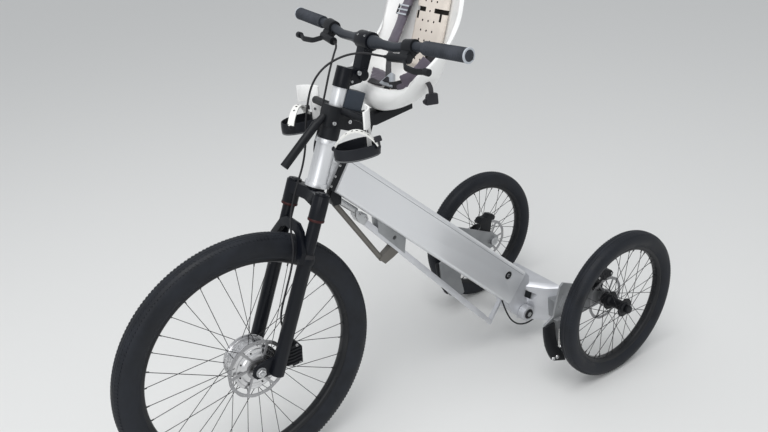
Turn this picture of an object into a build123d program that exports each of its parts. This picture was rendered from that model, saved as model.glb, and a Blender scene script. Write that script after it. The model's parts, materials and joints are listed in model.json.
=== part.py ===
"""Three-wheeled electric stand-up cycle with a child seat on its steering column.

Millimetres, +X forward, +Y to the rider's left, +Z up, ground at Z = 0.
"""
from build123d import *
import math
import os

os.makedirs("parts", exist_ok=True)

# Wheels: the front one is 26 inch, the rear ones 18 inch
WHEELBASE = 1042.0
REAR_TRACK = 606.0
FRONT_RADIUS = 345.0
FRONT_TYRE_HALF = 28.0
FRONT_RIM_OUTER = FRONT_RADIUS - 62.0
FRONT_RIM_INNER = FRONT_RIM_OUTER - 12.0
FRONT_RIM_HALF = 15.0
REAR_RADIUS = 231.0
REAR_TYRE_HALF = 25.0
REAR_RIM_OUTER = REAR_RADIUS - 46.0
REAR_RIM_INNER = REAR_RIM_OUTER - 11.0
REAR_RIM_HALF = 14.0
SPOKE_WIDTH = 2.0
FRONT_SPOKES = 36
REAR_SPOKES = 36
FRONT_LEAN = 22.0
REAR_LEAN = 55.0

# Steering axis, in the vehicle's middle plane, set from the front axle and tyre
HEAD_ANGLE = 67.7
SINE = math.sin(math.radians(HEAD_ANGLE))
COSINE = math.cos(math.radians(HEAD_ANGLE))
FORK_OFFSET = 63.33
TYRE_TO_HEAD = 185.74
FORK_LENGTH = FRONT_RADIUS + TYRE_TO_HEAD
HEAD_X = WHEELBASE - FORK_OFFSET * SINE - FORK_LENGTH * COSINE
HEAD_Z = FRONT_RADIUS - FORK_OFFSET * COSINE + FORK_LENGTH * SINE
HEAD_TUBE_RADIUS = 25.0
HEAD_TUBE_HALF = 60.0
LUG_INSET = 6.0
HEAD_CUP_RADIUS = 29.0
HEAD_CUP_LENGTH = 11.0
HEAD_RACE_RADIUS = 22.0
STEERER_TOP = 214.0
COLLAR_TOP = 94.0
COLUMN_TUBE_LOW = 140.0
STEM_LOW = 186.0
STEM_TOP = 234.0
STEERER_RADIUS = 14.3
RUNNING_CLEARANCE = 0.05
AXIAL_CLEARANCE = 0.3

# Main beam, as points of its side view
BEAM_HALF_WIDTH = 34.0
BEAM_TOP_FRONT = (HEAD_X - 65.0, HEAD_Z + 7.0)
BEAM_LOW_FRONT = (HEAD_X - 12.0, HEAD_Z - 73.0)
BEAM_LOW_REAR = (180.0, REAR_RADIUS - 59.0)
BEAM_TOP_REAR = (108.0, REAR_RADIUS + 31.0)
BRACKET_HOLE = (111.6, 16.4)
BRACKET_HOLE_RADIUS = 6.0
BEAM_EDGE_RADIUS = 9.0
BEAM_BOLT = (185.0, 49.0)
BEAM_BOLT_RADIUS = 14.0
FLANGE_THICKNESS = 12.0
FLANGE_HALF_WIDTH = 27.0

# Fork, in the steering column's own directions
LEG_SPACING_HALF = 65.0
LEG_FORWARD = 21.0
LOWER_LEG_RADIUS = 18.0
STANCHION_RADIUS = 15.5
SLEEVE_RADIUS = 20.0
CROWN_TOP = -66.0
CROWN_LOW = -96.0
SLEEVE_LOW = -126.0
LOWER_LEG_TOP = -222.0
LOWER_LEG_LOW = -4.0 - FORK_LENGTH
AXLE_RADIUS = 6.0
AXLE_END = 72.0
DROPOUT_INNER = 50.0
DROPOUT_THICKNESS = 8.0
HUB_BODY_RADIUS = 56.0
HUB_BODY_HALF = 30.0
HUB_FLANGE_RADIUS = 62.0
HUB_FLANGE_THICKNESS = 3.0
HUB_CAP_RADIUS = 40.0
HUB_CAP_HALF = 38.0
FRONT_ROTOR_RADIUS = 80.0
ROTOR_THICKNESS = 2.0

# Rear end
PLATE_INNER = 236.0
PLATE_THICKNESS = 6.0
GUARD_WIDTH = 8.0
GUARD_LUG_WIDTH = 20.0
REAR_AXLE_END = 345.0
REAR_HUB_RADIUS = 19.0
REAR_HUB_FLANGE_RADIUS = 29.0
REAR_FLANGE_OFFSET = 26.0
REAR_ROTOR_RADIUS = 70.0
REAR_ROTOR_Y = 257.0
BLOCK_HALF_WIDTH = 118.0
KNUCKLE_X = 112.0
KNUCKLE_Z = REAR_RADIUS - 113.0
BOSS_RADIUS = 25.0
BOSS_INNER = 30.0
BOSS_END = 54.0
PIN_RADIUS = 8.0
CLEVIS_HALF_WIDTH = 29.0
BLOCK_FACES = (
    ((60, 80, -28), (112, 36, -41), (73, 58, -155)),
    ((28, 117, -31), (60, 80, -28), (34, 91, -155)),
    ((0, 117, -31), (28, 117, -31), (34, 91, -155)),
    ((28, 117, -31), (40, 74, -17), (60, 80, -28)),
)
SIDES = ((1, "left"), (-1, "right"))
PLATE_OUTLINE = [
    (-22, -17),
    (-26, 9),
    (0, 31),
    (48, 53),
    (172, 112),
    (184, 103),
    (206, 11),
    (240, -5),
    (234, -81),
    (200, -145),
    (150, -169),
    (134, -157),
    (150, -91),
    (138, -45),
    (100, -27),
    (10, -27),
]

# Handlebar
BAR_X = HEAD_X - 154.0
BAR_Z = HEAD_Z + 268.0
BAR_RADIUS = 11.1
CLAMP_RADIUS = 15.9
GRIP_INNER = 212.0
GRIP_OUTER = 346.0
GRIP_RADIUS = 16.0
BAR_END_X = BAR_X - 17.0
BAR_END_Z = BAR_Z + 18.0

# Child seat
SEAT_HALF_WIDTH = 146.0
SEAT_WALL = 6.0
PAD_THICKNESS = 17.0
STRAP_PAD_THICKNESS = 14.0
BUCKLE_HEIGHT = 10.0
SEAT_SIDE = [
    (-142, 138),
    (-148, 113),
    (-170, 93),
    (-262, 93),
    (-320, 123),
    (-377, 328),
    (-394, 450),
    (-380, 463),
    (-358, 460),
    (-330, 335),
    (-292, 248),
    (-204, 196),
]
SEAT_PLAN = [(-114, 104), (-182, 134), (-262, 146), (-398, 146), (-398, 0), (-114, 0)]
SEAT_FRONT = [(0, 88), (104, 88), (138, 138), (146, 208), (146, 348), (128, 424), (92, 462), (0, 466)]
CUP_X = HEAD_X - 22.0
CUP_Y = 128.0
CUP_Z = HEAD_Z + 46.0
CUP_LENGTH = 118.0
CUP_HALF_WIDTH = 36.0
CUP_DEPTH = 30.0
CUP_WALL = 4.0
STRAP_FRONT = (CUP_X + 42.0, CUP_Y - 25.0)
STRAP_REAR = (CUP_X - 38.0, CUP_Y + 31.0)
STRAP_RISE = 34.0
STRAP_THICKNESS = 3.0
STRAP_HALF_WIDTH = 8.0
GUARD_HEIGHT = 104.0

# Brake hoses
HOSE_RADIUS = 2.6
FRONT_HOSE_ROUTE = [
    (-132, 118, 252),
    (-127, 88, 251),
    (-104, 56, 258),
    (-70, 24, 252),
    (-30, 0, 230),
    (0, -12, 193),
    (15, -17, 143),
    (24, -18, 93),
    (30, -17, 46),
    (46, -12, 0),
    (74, -4, -44),
]
FRONT_HOSE_LEG = [
    (56, 4, -127),
    (60, 26, -166),
    (49, 48, -210),
    (46, 52, -262),
    (47, 53, -318),
    (45, 51, -376),
    (26, 42, -418),
    (-14, 46, -460),
]
REAR_HOSE_ROUTE = [
    (-132, -118, 252),
    (-128, -94, 250),
    (-102, -72, 232),
    (-76, -56, 198),
    (-56, -46, 160),
    (-38, -40, 122),
    (-25, -38, 86),
]
BEAM_HOSE_ENTRY = [
    (-18, -38, 62),
    (-6, -40, 34),
    (-4, -42, 0),
    (-18, -42, -28),
    (-44, -37, -40),
    (-60, -34, -36),
]
TAIL_HOSE_ROUTE = [
    (198, 20, -43),
    (181, 21, -93),
    (152, 22, -143),
    (112, 24, -170),
    (66, 27, -171),
    (24, 30, -151),
]

# The origin is on the ground below the middle of the vehicle's length
MIDDLE_X = (WHEELBASE + FRONT_RADIUS - REAR_RADIUS) / 2

COLUMN = Plane(origin=(HEAD_X, 0, HEAD_Z), x_dir=(SINE, 0, COSINE), z_dir=(-COSINE, 0, SINE))


def from_head(*points):
    """Points given from the middle of the head tube, as side view pairs or as places."""
    return [(HEAD_X + point[0], *point[1:-1], HEAD_Z + point[-1]) for point in points]


def from_axle(*points):
    """Points given from the rear axle, as side view pairs or as places."""
    return [(point[0], *point[1:-1], REAR_RADIUS + point[-1]) for point in points]


def from_tube(*points):
    """Side view points given along the lower tube from its front end, and square above it."""
    placed = [TUBE_LINE.from_local_coords(Vector(reach, above, 0)) for reach, above in points]
    return [(point.X, point.Z) for point in placed]


def column_point(forward, left, up):
    """Point given along the steering column's own directions."""
    return COLUMN.from_local_coords(Vector(forward, left, up))


def column_side(points):
    """Side view points given along the steering column's own directions."""
    placed = [column_point(forward, 0, up) for forward, up in points]
    return [(point.X, point.Z) for point in placed]


TUBE_FRONT, TUBE_REAR = *from_head((-106, 0, -194)), *from_axle((262, 0, -84))
TUBE_LINE = Plane(
    origin=TUBE_FRONT,
    x_dir=Vector(*TUBE_REAR) - Vector(*TUBE_FRONT),
    z_dir=(0, 1, 0),
)


def write(piece, label):
    """Name one finished piece and save it."""
    placed = piece.part.moved(Location((-MIDDLE_X, 0, 0)))
    placed.label = label
    export_step(placed, f"parts/{label}.step")


def round_bar(start, end, radius):
    """Round bar from one point to another, added to the part being built."""
    first = Vector(*start)
    run = Vector(*end) - first
    with BuildSketch(Plane(origin=first, z_dir=run)) as section:
        Circle(radius)
    extrude(section.sketch, amount=run.length)


def flat_bar(start, end, width, height):
    """Bar of rectangular section between two points of a plane of constant Y."""
    first = Vector(*start)
    run = Vector(*end) - first
    with BuildSketch(Plane(origin=first, x_dir=(0, 1, 0), z_dir=run)) as section:
        Rectangle(width, height)
    extrude(section.sketch, amount=run.length)


def side_prism(points, y_low, y_high):
    """Prism of a side view outline, between two values of Y."""
    with BuildSketch(Plane.XZ.offset(-y_high)) as outline:
        with BuildLine():
            Polyline(*points, close=True)
        make_face()
    extrude(outline.sketch, amount=y_high - y_low)


def axle_plane(x, z):
    """Plane across a wheel, whose first direction is the axle's and second is up."""
    return Plane(origin=(x, 0, z), x_dir=(0, 1, 0), z_dir=(1, 0, 0))


def turned(x, z, points):
    """Solid of revolution about a lateral axle, from points of Y and radius."""
    with BuildSketch(axle_plane(x, z)) as section:
        with BuildLine():
            Polyline(*points, close=True)
        make_face()
    revolve(section.sketch, axis=Axis((x, 0, z), (0, 1, 0)))


def ring_points(y_low, y_high, inner, outer):
    """Section of a plain ring, for a turned piece."""
    return [(y_low, inner), (y_high, inner), (y_high, outer), (y_low, outer)]


def tyre(x, z, y_middle, radius, half, rim_outer, rim_half):
    """Tyre: a round crown on straight sides that grip the rim."""
    shoulder = radius - half * 0.8
    side = half - 2.0
    with BuildSketch(axle_plane(x, z)) as section:
        with BuildLine():
            crown = ThreePointArc(
                (y_middle - half, shoulder),
                (y_middle, radius),
                (y_middle + half, shoulder),
            )
            left_edge = ThreePointArc(
                (y_middle + half, shoulder),
                (y_middle + side, (shoulder + rim_outer) / 2 - 4),
                (y_middle + rim_half, rim_outer),
            )
            right_edge = ThreePointArc(
                (y_middle - rim_half, rim_outer),
                (y_middle - side, (shoulder + rim_outer) / 2 - 4),
                (y_middle - half, shoulder),
            )
            Line(left_edge @ 1, right_edge @ 0)
        make_face()
    revolve(section.sketch, axis=Axis((x, 0, z), (0, 1, 0)))


def rim(x, z, y_middle, inner, outer, half):
    """Rim: a shallow box section."""
    points = [
        (y_middle - half, outer),
        (y_middle - half, inner + 6),
        (y_middle - 8, inner),
        (y_middle + 8, inner),
        (y_middle + half, inner + 6),
        (y_middle + half, outer),
    ]
    turned(x, z, points)


def spokes(x, z, y_middle, count, flange_offset, flange_radius, rim_radius, lean):
    """Crossed spokes, alternately from the two flanges, leading and trailing."""
    for index in range(count):
        side = 1 if index % 2 == 0 else -1
        trail = 1 if (index // 2) % 2 == 0 else -1
        rim_angle = 2 * math.pi * index / count
        hub_angle = rim_angle + trail * math.radians(lean)
        inset = 2.5 * trail
        start = Vector(
            x + flange_radius * math.cos(hub_angle),
            y_middle + side * (flange_offset + inset),
            z + flange_radius * math.sin(hub_angle),
        )
        end = Vector(
            x + rim_radius * math.cos(rim_angle),
            y_middle + side * 3.0,
            z + rim_radius * math.sin(rim_angle),
        )
        run = end - start
        with BuildSketch(Plane(origin=start, x_dir=run.cross(Vector(0, 1, 0)), z_dir=run)) as section:
            Rectangle(SPOKE_WIDTH, SPOKE_WIDTH)
        extrude(section.sketch, amount=run.length)


# Frame: the beam, cut at its front end for the flange
with BuildPart() as main_beam:
    beam_side = [BEAM_TOP_FRONT, BEAM_LOW_FRONT, BEAM_LOW_REAR, BEAM_TOP_REAR]
    side_prism(beam_side, -BEAM_HALF_WIDTH, BEAM_HALF_WIDTH)
    long_edges = main_beam.edges().filter_by(lambda edge: edge.length > 700 and abs((edge % 0.5).Y) < 0.1)
    fillet(long_edges, BEAM_EDGE_RADIUS)
    with BuildSketch(Plane.XZ.offset(-BEAM_HALF_WIDTH - 1)):
        with Locations(*from_axle(BEAM_BOLT)):
            Circle(BEAM_BOLT_RADIUS)
    extrude(amount=5, mode=Mode.SUBTRACT)
write(main_beam, "main_beam")

flange_run = Vector(BEAM_LOW_FRONT[0] - BEAM_TOP_FRONT[0], 0, BEAM_LOW_FRONT[1] - BEAM_TOP_FRONT[1])
flange_along = flange_run.normalized()
flange_out = Vector(-flange_along.Z, 0, flange_along.X)
FLANGE_TOP_FRONT = (
    BEAM_TOP_FRONT[0] + FLANGE_THICKNESS * flange_out.X,
    BEAM_TOP_FRONT[1] + FLANGE_THICKNESS * flange_out.Z,
)
FLANGE_LOW_FRONT = (
    BEAM_LOW_FRONT[0] + FLANGE_THICKNESS * flange_out.X,
    BEAM_LOW_FRONT[1] + FLANGE_THICKNESS * flange_out.Z,
)

with BuildPart() as front_flange:
    side_prism(
        [BEAM_TOP_FRONT, BEAM_LOW_FRONT, FLANGE_LOW_FRONT, FLANGE_TOP_FRONT],
        -FLANGE_HALF_WIDTH,
        FLANGE_HALF_WIDTH,
    )
write(front_flange, "front_flange")

# Head tube with a wedge lug that meets the flange
with BuildPart() as head_tube:
    lug_low = column_point(0, 0, LUG_INSET - HEAD_TUBE_HALF)
    lug_high = column_point(0, 0, HEAD_TUBE_HALF - LUG_INSET)
    lug_points = [
        FLANGE_TOP_FRONT,
        FLANGE_LOW_FRONT,
        (lug_low.X, lug_low.Z),
        (lug_high.X, lug_high.Z),
    ]
    side_prism(lug_points, -17, 17)
    with BuildSketch(COLUMN.offset(-HEAD_TUBE_HALF)):
        Circle(HEAD_TUBE_RADIUS)
    extrude(amount=2 * HEAD_TUBE_HALF)
    with BuildSketch(COLUMN.offset(-HEAD_TUBE_HALF)):
        Circle(HEAD_CUP_RADIUS)
    extrude(amount=HEAD_CUP_LENGTH)
    with BuildSketch(COLUMN.offset(HEAD_TUBE_HALF - HEAD_CUP_LENGTH)):
        Circle(HEAD_CUP_RADIUS)
    extrude(amount=HEAD_CUP_LENGTH)
    with BuildSketch(COLUMN.offset(-HEAD_TUBE_HALF)):
        Circle(STEERER_RADIUS + RUNNING_CLEARANCE)
    extrude(amount=2 * HEAD_TUBE_HALF, mode=Mode.SUBTRACT)
    add(front_flange.part, mode=Mode.SUBTRACT)
write(head_tube, "head_tube")

# Links under the beam
with BuildPart() as front_lug:
    lug_side = column_side([(-42, -64), (-42, -84), (-60, -104), (-80, -96), (-74, -72), (-52, -56)])
    side_prism(lug_side, -11, 11)
    add(main_beam.part, mode=Mode.SUBTRACT)
write(front_lug, "front_lug")

with BuildPart() as upper_link:
    round_bar(*from_head((-34, 0, -110), (-84, 0, -157)), 8.5)
    eye_side = from_head((-78, -150), (-92, -164), (-110, -172), (-114, -186))
    eye_side += from_head((-98, -200), (-84, -186), (-76, -168))
    side_prism(eye_side, -13, 13)
    add(front_lug.part, mode=Mode.SUBTRACT)
    add(main_beam.part, mode=Mode.SUBTRACT)
write(upper_link, "upper_link")

with BuildPart() as lower_tube:
    flat_bar(TUBE_FRONT, TUBE_REAR, 24, 16)
    add(upper_link.part, mode=Mode.SUBTRACT)
write(lower_tube, "lower_tube")

with BuildPart() as rear_arm:
    flat_bar(*from_axle((262, 0, -84), (232, 0, -118)), 20, 12)
    flat_bar(*from_axle((237, 0, -123), (186, 0, -51)), 14, 9)
    add(lower_tube.part, mode=Mode.SUBTRACT)
    add(main_beam.part, mode=Mode.SUBTRACT)
write(rear_arm, "rear_arm")

with BuildPart() as beam_bracket:
    side_prism(from_tube((13, 33), (138, 45), (176, 0), (55, 0)), -14, 14)
    with BuildSketch(Plane.XZ.offset(-15)):
        with Locations(*from_tube(BRACKET_HOLE)):
            Circle(BRACKET_HOLE_RADIUS)
    extrude(amount=30, mode=Mode.SUBTRACT)
    add(lower_tube.part, mode=Mode.SUBTRACT)
    add(main_beam.part, mode=Mode.SUBTRACT)
write(beam_bracket, "beam_bracket")

with BuildPart() as brace:
    (low_x, low_z), = from_tube((129, -50))
    round_bar(*from_head((-24, 0, -118)), (low_x, 0, low_z), 7.5)
    side_prism(from_tube((117, -55), (144, -54.5), (155, -24), (159, -7), (124, -6)), -9, 9)
    for neighbour in (front_lug, upper_link, lower_tube, beam_bracket):
        add(neighbour.part, mode=Mode.SUBTRACT)
write(brace, "brace")

# Rear knuckle: a faceted block on the clevis at the beam's end
with BuildPart() as end_clevis:
    clevis_side = from_axle((166, -93), (134, -127), (104, -123), (92, -61), (90, 9))
    side_prism([BEAM_TOP_REAR, BEAM_LOW_REAR, *clevis_side], -CLEVIS_HALF_WIDTH, CLEVIS_HALF_WIDTH)
    add(main_beam.part, mode=Mode.SUBTRACT)
    with BuildSketch(Plane.XZ.offset(-CLEVIS_HALF_WIDTH)):
        with Locations((KNUCKLE_X, KNUCKLE_Z)):
            Circle(PIN_RADIUS)
    extrude(amount=2 * CLEVIS_HALF_WIDTH, mode=Mode.SUBTRACT)
write(end_clevis, "end_clevis")

with BuildPart() as knuckle_block:
    block_side = from_axle((106, 7), (84, -15), (26, -19), (16, -45), (16, -155), (126, -155), (146, -119))
    side_prism([*block_side, *from_axle((112, -51))], -BLOCK_HALF_WIDTH, BLOCK_HALF_WIDTH)
    for side in (1, -1):
        for corners in BLOCK_FACES:
            first, second, third = [Vector(x, side * y, z) for x, y, z in from_axle(*corners)]
            outward = (second - first).cross(third - first) * side
            with BuildSketch(Plane(origin=first, x_dir=second - first, z_dir=outward)) as face:
                Rectangle(600, 600)
            extrude(face.sketch, amount=150, mode=Mode.SUBTRACT)
    with BuildSketch(Plane.XZ.offset(-BLOCK_HALF_WIDTH)):
        with BuildLine():
            Polyline(*from_axle((105, -38), (78, -54), (85, -78), (110, -60)), close=True)
        make_face()
    extrude(amount=2 * BLOCK_HALF_WIDTH, mode=Mode.SUBTRACT)
    slot = from_axle((88, 39), (94, -57), (150, -131), (200, -131), (200, 39))
    with BuildSketch(Plane.XZ.offset(-CLEVIS_HALF_WIDTH)):
        with BuildLine():
            Polyline(*slot, close=True)
        make_face()
    extrude(amount=2 * CLEVIS_HALF_WIDTH, mode=Mode.SUBTRACT)
    with BuildSketch(Plane.XZ.offset(-BOSS_END)):
        with Locations((KNUCKLE_X, KNUCKLE_Z)):
            Circle(BOSS_RADIUS)
    extrude(amount=BOSS_END - BOSS_INNER)
    with BuildSketch(Plane.XZ.offset(BOSS_INNER)):
        with Locations((KNUCKLE_X, KNUCKLE_Z)):
            Circle(BOSS_RADIUS)
    extrude(amount=BOSS_END - BOSS_INNER)
    with BuildSketch(Plane.XZ.offset(-BOSS_END)):
        with Locations((KNUCKLE_X, KNUCKLE_Z)):
            Circle(PIN_RADIUS)
    extrude(amount=2 * BOSS_END, mode=Mode.SUBTRACT)
    add(end_clevis.part, mode=Mode.SUBTRACT)
    add(main_beam.part, mode=Mode.SUBTRACT)
write(knuckle_block, "knuckle_block")

with BuildPart() as knuckle_pin:
    round_bar((KNUCKLE_X, -BOSS_END, KNUCKLE_Z), (KNUCKLE_X, BOSS_END, KNUCKLE_Z), PIN_RADIUS)
write(knuckle_pin, "knuckle_pin")

# The wheel side plates, their arms and the black guards on their outer faces
with BuildPart() as side_plates:
    for side, hand in SIDES:
        low_y, high_y = sorted((side * PLATE_INNER, side * (PLATE_INNER + PLATE_THICKNESS)))
        side_prism(from_axle(*PLATE_OUTLINE), low_y, high_y)
        low_y, high_y = sorted((side * PLATE_INNER, side * (PLATE_INNER + GUARD_LUG_WIDTH)))
        side_prism(from_axle((164, 3), (206, 3), (204, -4), (163, -4)), low_y, high_y)
    with BuildSketch(Plane.XZ.offset(-PLATE_INNER - PLATE_THICKNESS)):
        with Locations((0, REAR_RADIUS)):
            Circle(AXLE_RADIUS)
        with BuildLine():
            Polyline(*from_axle((165, 69), (180, 31), (188, 33), (174, 71)), close=True)
        make_face()
        with BuildLine():
            Polyline(*from_axle((140, 55), (156, 17), (164, 19), (149, 57)), close=True)
        make_face()
    extrude(amount=2 * (PLATE_INNER + PLATE_THICKNESS), mode=Mode.SUBTRACT)
write(side_plates, "side_plates")

with BuildPart() as cross_arms:
    for side, hand in SIDES:
        with BuildSketch(Plane.XZ.offset(-side * 80)):
            with BuildLine():
                Polyline(*from_axle((26, -131), (48, -131), (56, -61), (26, -61)), close=True)
            make_face()
        with BuildSketch(Plane.XZ.offset(-side * PLATE_INNER)):
            with BuildLine():
                Polyline(*from_axle((84, -25), (146, -42), (150, 12), (88, 2)), close=True)
            make_face()
        loft(ruled=True)
    add(knuckle_block.part, mode=Mode.SUBTRACT)
write(cross_arms, "cross_arms")

with BuildPart() as wheel_guards:
    for side, hand in SIDES:
        with BuildSketch(Plane.XZ.offset(-side * (PLATE_INNER + PLATE_THICKNESS))):
            with BuildLine():
                ThreePointArc(*from_axle((250, -6), (239, -76), (208, -140)))
                Polyline(*from_axle((208, -140), (152, -163), (168, -125)))
                ThreePointArc(*from_axle((168, -125), (196, -70), (206, -6)))
                Line(*from_axle((206, -6), (250, -6)))
            make_face()
        extrude(amount=-side * GUARD_WIDTH)
write(wheel_guards, "wheel_guards")

with BuildPart() as rear_axles:
    for side, hand in SIDES:
        for near_y, far_y, radius in (
            (PLATE_INNER - 8, REAR_AXLE_END, AXLE_RADIUS),
            (PLATE_INNER - 10, PLATE_INNER, 15),
            (PLATE_INNER + PLATE_THICKNESS, PLATE_INNER + 13, 10),
            (REAR_AXLE_END - 8, REAR_AXLE_END + 5, 12),
        ):
            round_bar((0, side * near_y, REAR_RADIUS), (0, side * far_y, REAR_RADIUS), radius)
write(rear_axles, "rear_axles")

with BuildPart() as rear_calipers:
    for side, hand in SIDES:
        caliper_low, caliper_high = sorted((side * 242, side * 268))
        cheek_low, cheek_high = sorted((side * 242, side * 250))
        side_prism(
            from_axle((-12, 77), (56, 77), (60, 86), (44, 98), (26, 94), (10, 103), (-8, 97), (-16, 86)),
            caliper_low,
            caliper_high,
        )
        side_prism(from_axle((8, 22), (44, 38), (50, 77), (0, 77)), cheek_low, cheek_high)
write(rear_calipers, "rear_calipers")

for side, hand in SIDES:
    wheel_y = side * REAR_TRACK / 2
    with BuildPart() as rear_tyre:
        tyre(0, REAR_RADIUS, wheel_y, REAR_RADIUS, REAR_TYRE_HALF, REAR_RIM_OUTER, REAR_RIM_HALF)
    write(rear_tyre, f"rear_tyre_{hand}")
    with BuildPart() as rear_rim:
        rim(0, REAR_RADIUS, wheel_y, REAR_RIM_INNER, REAR_RIM_OUTER, REAR_RIM_HALF)
    write(rear_rim, f"rear_rim_{hand}")
    with BuildPart() as rear_hub:
        inner_low, inner_high = sorted((wheel_y - side * 53, wheel_y + side * 33))
        bore = AXLE_RADIUS + RUNNING_CLEARANCE
        turned(0, REAR_RADIUS, ring_points(inner_low, inner_high, bore, REAR_HUB_RADIUS))
        for flange_y in (wheel_y - REAR_FLANGE_OFFSET, wheel_y + REAR_FLANGE_OFFSET):
            turned(
                0,
                REAR_RADIUS,
                ring_points(flange_y - 1.5, flange_y + 1.5, REAR_HUB_RADIUS - 1, REAR_HUB_FLANGE_RADIUS),
            )
    write(rear_hub, f"rear_hub_{hand}")
    with BuildPart() as rear_rotor:
        turned(
            0,
            REAR_RADIUS,
            ring_points(
                side * REAR_ROTOR_Y - ROTOR_THICKNESS / 2,
                side * REAR_ROTOR_Y + ROTOR_THICKNESS / 2,
                REAR_HUB_RADIUS,
                REAR_ROTOR_RADIUS,
            ),
        )
    write(rear_rotor, f"rear_rotor_{hand}")
    with BuildPart() as rear_spokes:
        hub_holes = REAR_HUB_FLANGE_RADIUS - 2
        rim_holes = REAR_RIM_INNER + 1
        spokes(0, REAR_RADIUS, wheel_y, REAR_SPOKES, REAR_FLANGE_OFFSET, hub_holes, rim_holes, REAR_LEAN)
        add(rear_hub.part, mode=Mode.SUBTRACT)
        add(rear_rim.part, mode=Mode.SUBTRACT)
    write(rear_spokes, f"rear_spokes_{hand}")

# Front wheel with its hub motor
with BuildPart() as front_tyre:
    tyre(WHEELBASE, FRONT_RADIUS, 0, FRONT_RADIUS, FRONT_TYRE_HALF, FRONT_RIM_OUTER, FRONT_RIM_HALF)
write(front_tyre, "front_tyre")

with BuildPart() as front_rim:
    rim(WHEELBASE, FRONT_RADIUS, 0, FRONT_RIM_INNER, FRONT_RIM_OUTER, FRONT_RIM_HALF)
write(front_rim, "front_rim")

with BuildPart() as front_hub:
    bore = AXLE_RADIUS + RUNNING_CLEARANCE
    turned(WHEELBASE, FRONT_RADIUS, ring_points(-HUB_CAP_HALF, HUB_CAP_HALF, bore, HUB_CAP_RADIUS))
    turned(WHEELBASE, FRONT_RADIUS, ring_points(-HUB_BODY_HALF, HUB_BODY_HALF, bore, HUB_BODY_RADIUS))
    for flange_y in (-HUB_BODY_HALF + HUB_FLANGE_THICKNESS / 2, HUB_BODY_HALF - HUB_FLANGE_THICKNESS / 2):
        turned(
            WHEELBASE,
            FRONT_RADIUS,
            ring_points(
                flange_y - HUB_FLANGE_THICKNESS / 2,
                flange_y + HUB_FLANGE_THICKNESS / 2,
                HUB_BODY_RADIUS - 1,
                HUB_FLANGE_RADIUS,
            ),
        )
write(front_hub, "front_hub")

with BuildPart() as front_rotor:
    disc = ring_points(HUB_CAP_HALF, HUB_CAP_HALF + ROTOR_THICKNESS, 20, FRONT_ROTOR_RADIUS)
    turned(WHEELBASE, FRONT_RADIUS, disc)
write(front_rotor, "front_rotor")

with BuildPart() as front_spokes:
    flange_middle = HUB_BODY_HALF - HUB_FLANGE_THICKNESS / 2
    hub_holes = HUB_FLANGE_RADIUS - 2
    rim_holes = FRONT_RIM_INNER + 1
    spokes(WHEELBASE, FRONT_RADIUS, 0, FRONT_SPOKES, flange_middle, hub_holes, rim_holes, FRONT_LEAN)
    add(front_hub.part, mode=Mode.SUBTRACT)
    add(front_rim.part, mode=Mode.SUBTRACT)
write(front_spokes, "front_spokes")

with BuildPart() as front_axle:
    round_bar((WHEELBASE, -AXLE_END, FRONT_RADIUS), (WHEELBASE, AXLE_END, FRONT_RADIUS), AXLE_RADIUS)
    nut = DROPOUT_INNER + DROPOUT_THICKNESS
    round_bar((WHEELBASE, nut, FRONT_RADIUS), (WHEELBASE, nut + 9, FRONT_RADIUS), 11)
    round_bar((WHEELBASE, -nut - 9, FRONT_RADIUS), (WHEELBASE, -nut, FRONT_RADIUS), 11)
write(front_axle, "front_axle")

# Fork: crown and steerer, stanchions, and the lower legs with their arch
with BuildPart() as fork_crown:
    with BuildSketch(COLUMN.offset(CROWN_LOW)):
        for side in (1, -1):
            with BuildLine():
                Polyline((-20, 0), (1, side * 62), (30, side * 84), (41, side * 66), (24, 0), close=True)
            make_face()
        Circle(23)
        with Locations((LEG_FORWARD, LEG_SPACING_HALF), (LEG_FORWARD, -LEG_SPACING_HALF)):
            Circle(SLEEVE_RADIUS)
    extrude(amount=CROWN_TOP - CROWN_LOW)
    with BuildSketch(COLUMN.offset(SLEEVE_LOW)):
        with Locations((LEG_FORWARD, LEG_SPACING_HALF), (LEG_FORWARD, -LEG_SPACING_HALF)):
            Circle(SLEEVE_RADIUS)
    extrude(amount=CROWN_LOW - SLEEVE_LOW)
    with BuildSketch(COLUMN.offset(CROWN_TOP)):
        Circle(HEAD_RACE_RADIUS)
    extrude(amount=-HEAD_TUBE_HALF - AXIAL_CLEARANCE - CROWN_TOP)
    with BuildSketch(COLUMN.offset(CROWN_TOP)):
        Circle(STEERER_RADIUS)
    extrude(amount=STEERER_TOP - CROWN_TOP)
write(fork_crown, "fork_crown")

with BuildPart() as stanchions:
    for side in (1, -1):
        with BuildSketch(COLUMN.offset(LOWER_LEG_TOP)):
            with Locations((LEG_FORWARD, side * LEG_SPACING_HALF)):
                Circle(STANCHION_RADIUS)
        extrude(amount=SLEEVE_LOW - LOWER_LEG_TOP)
write(stanchions, "stanchions")

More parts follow.
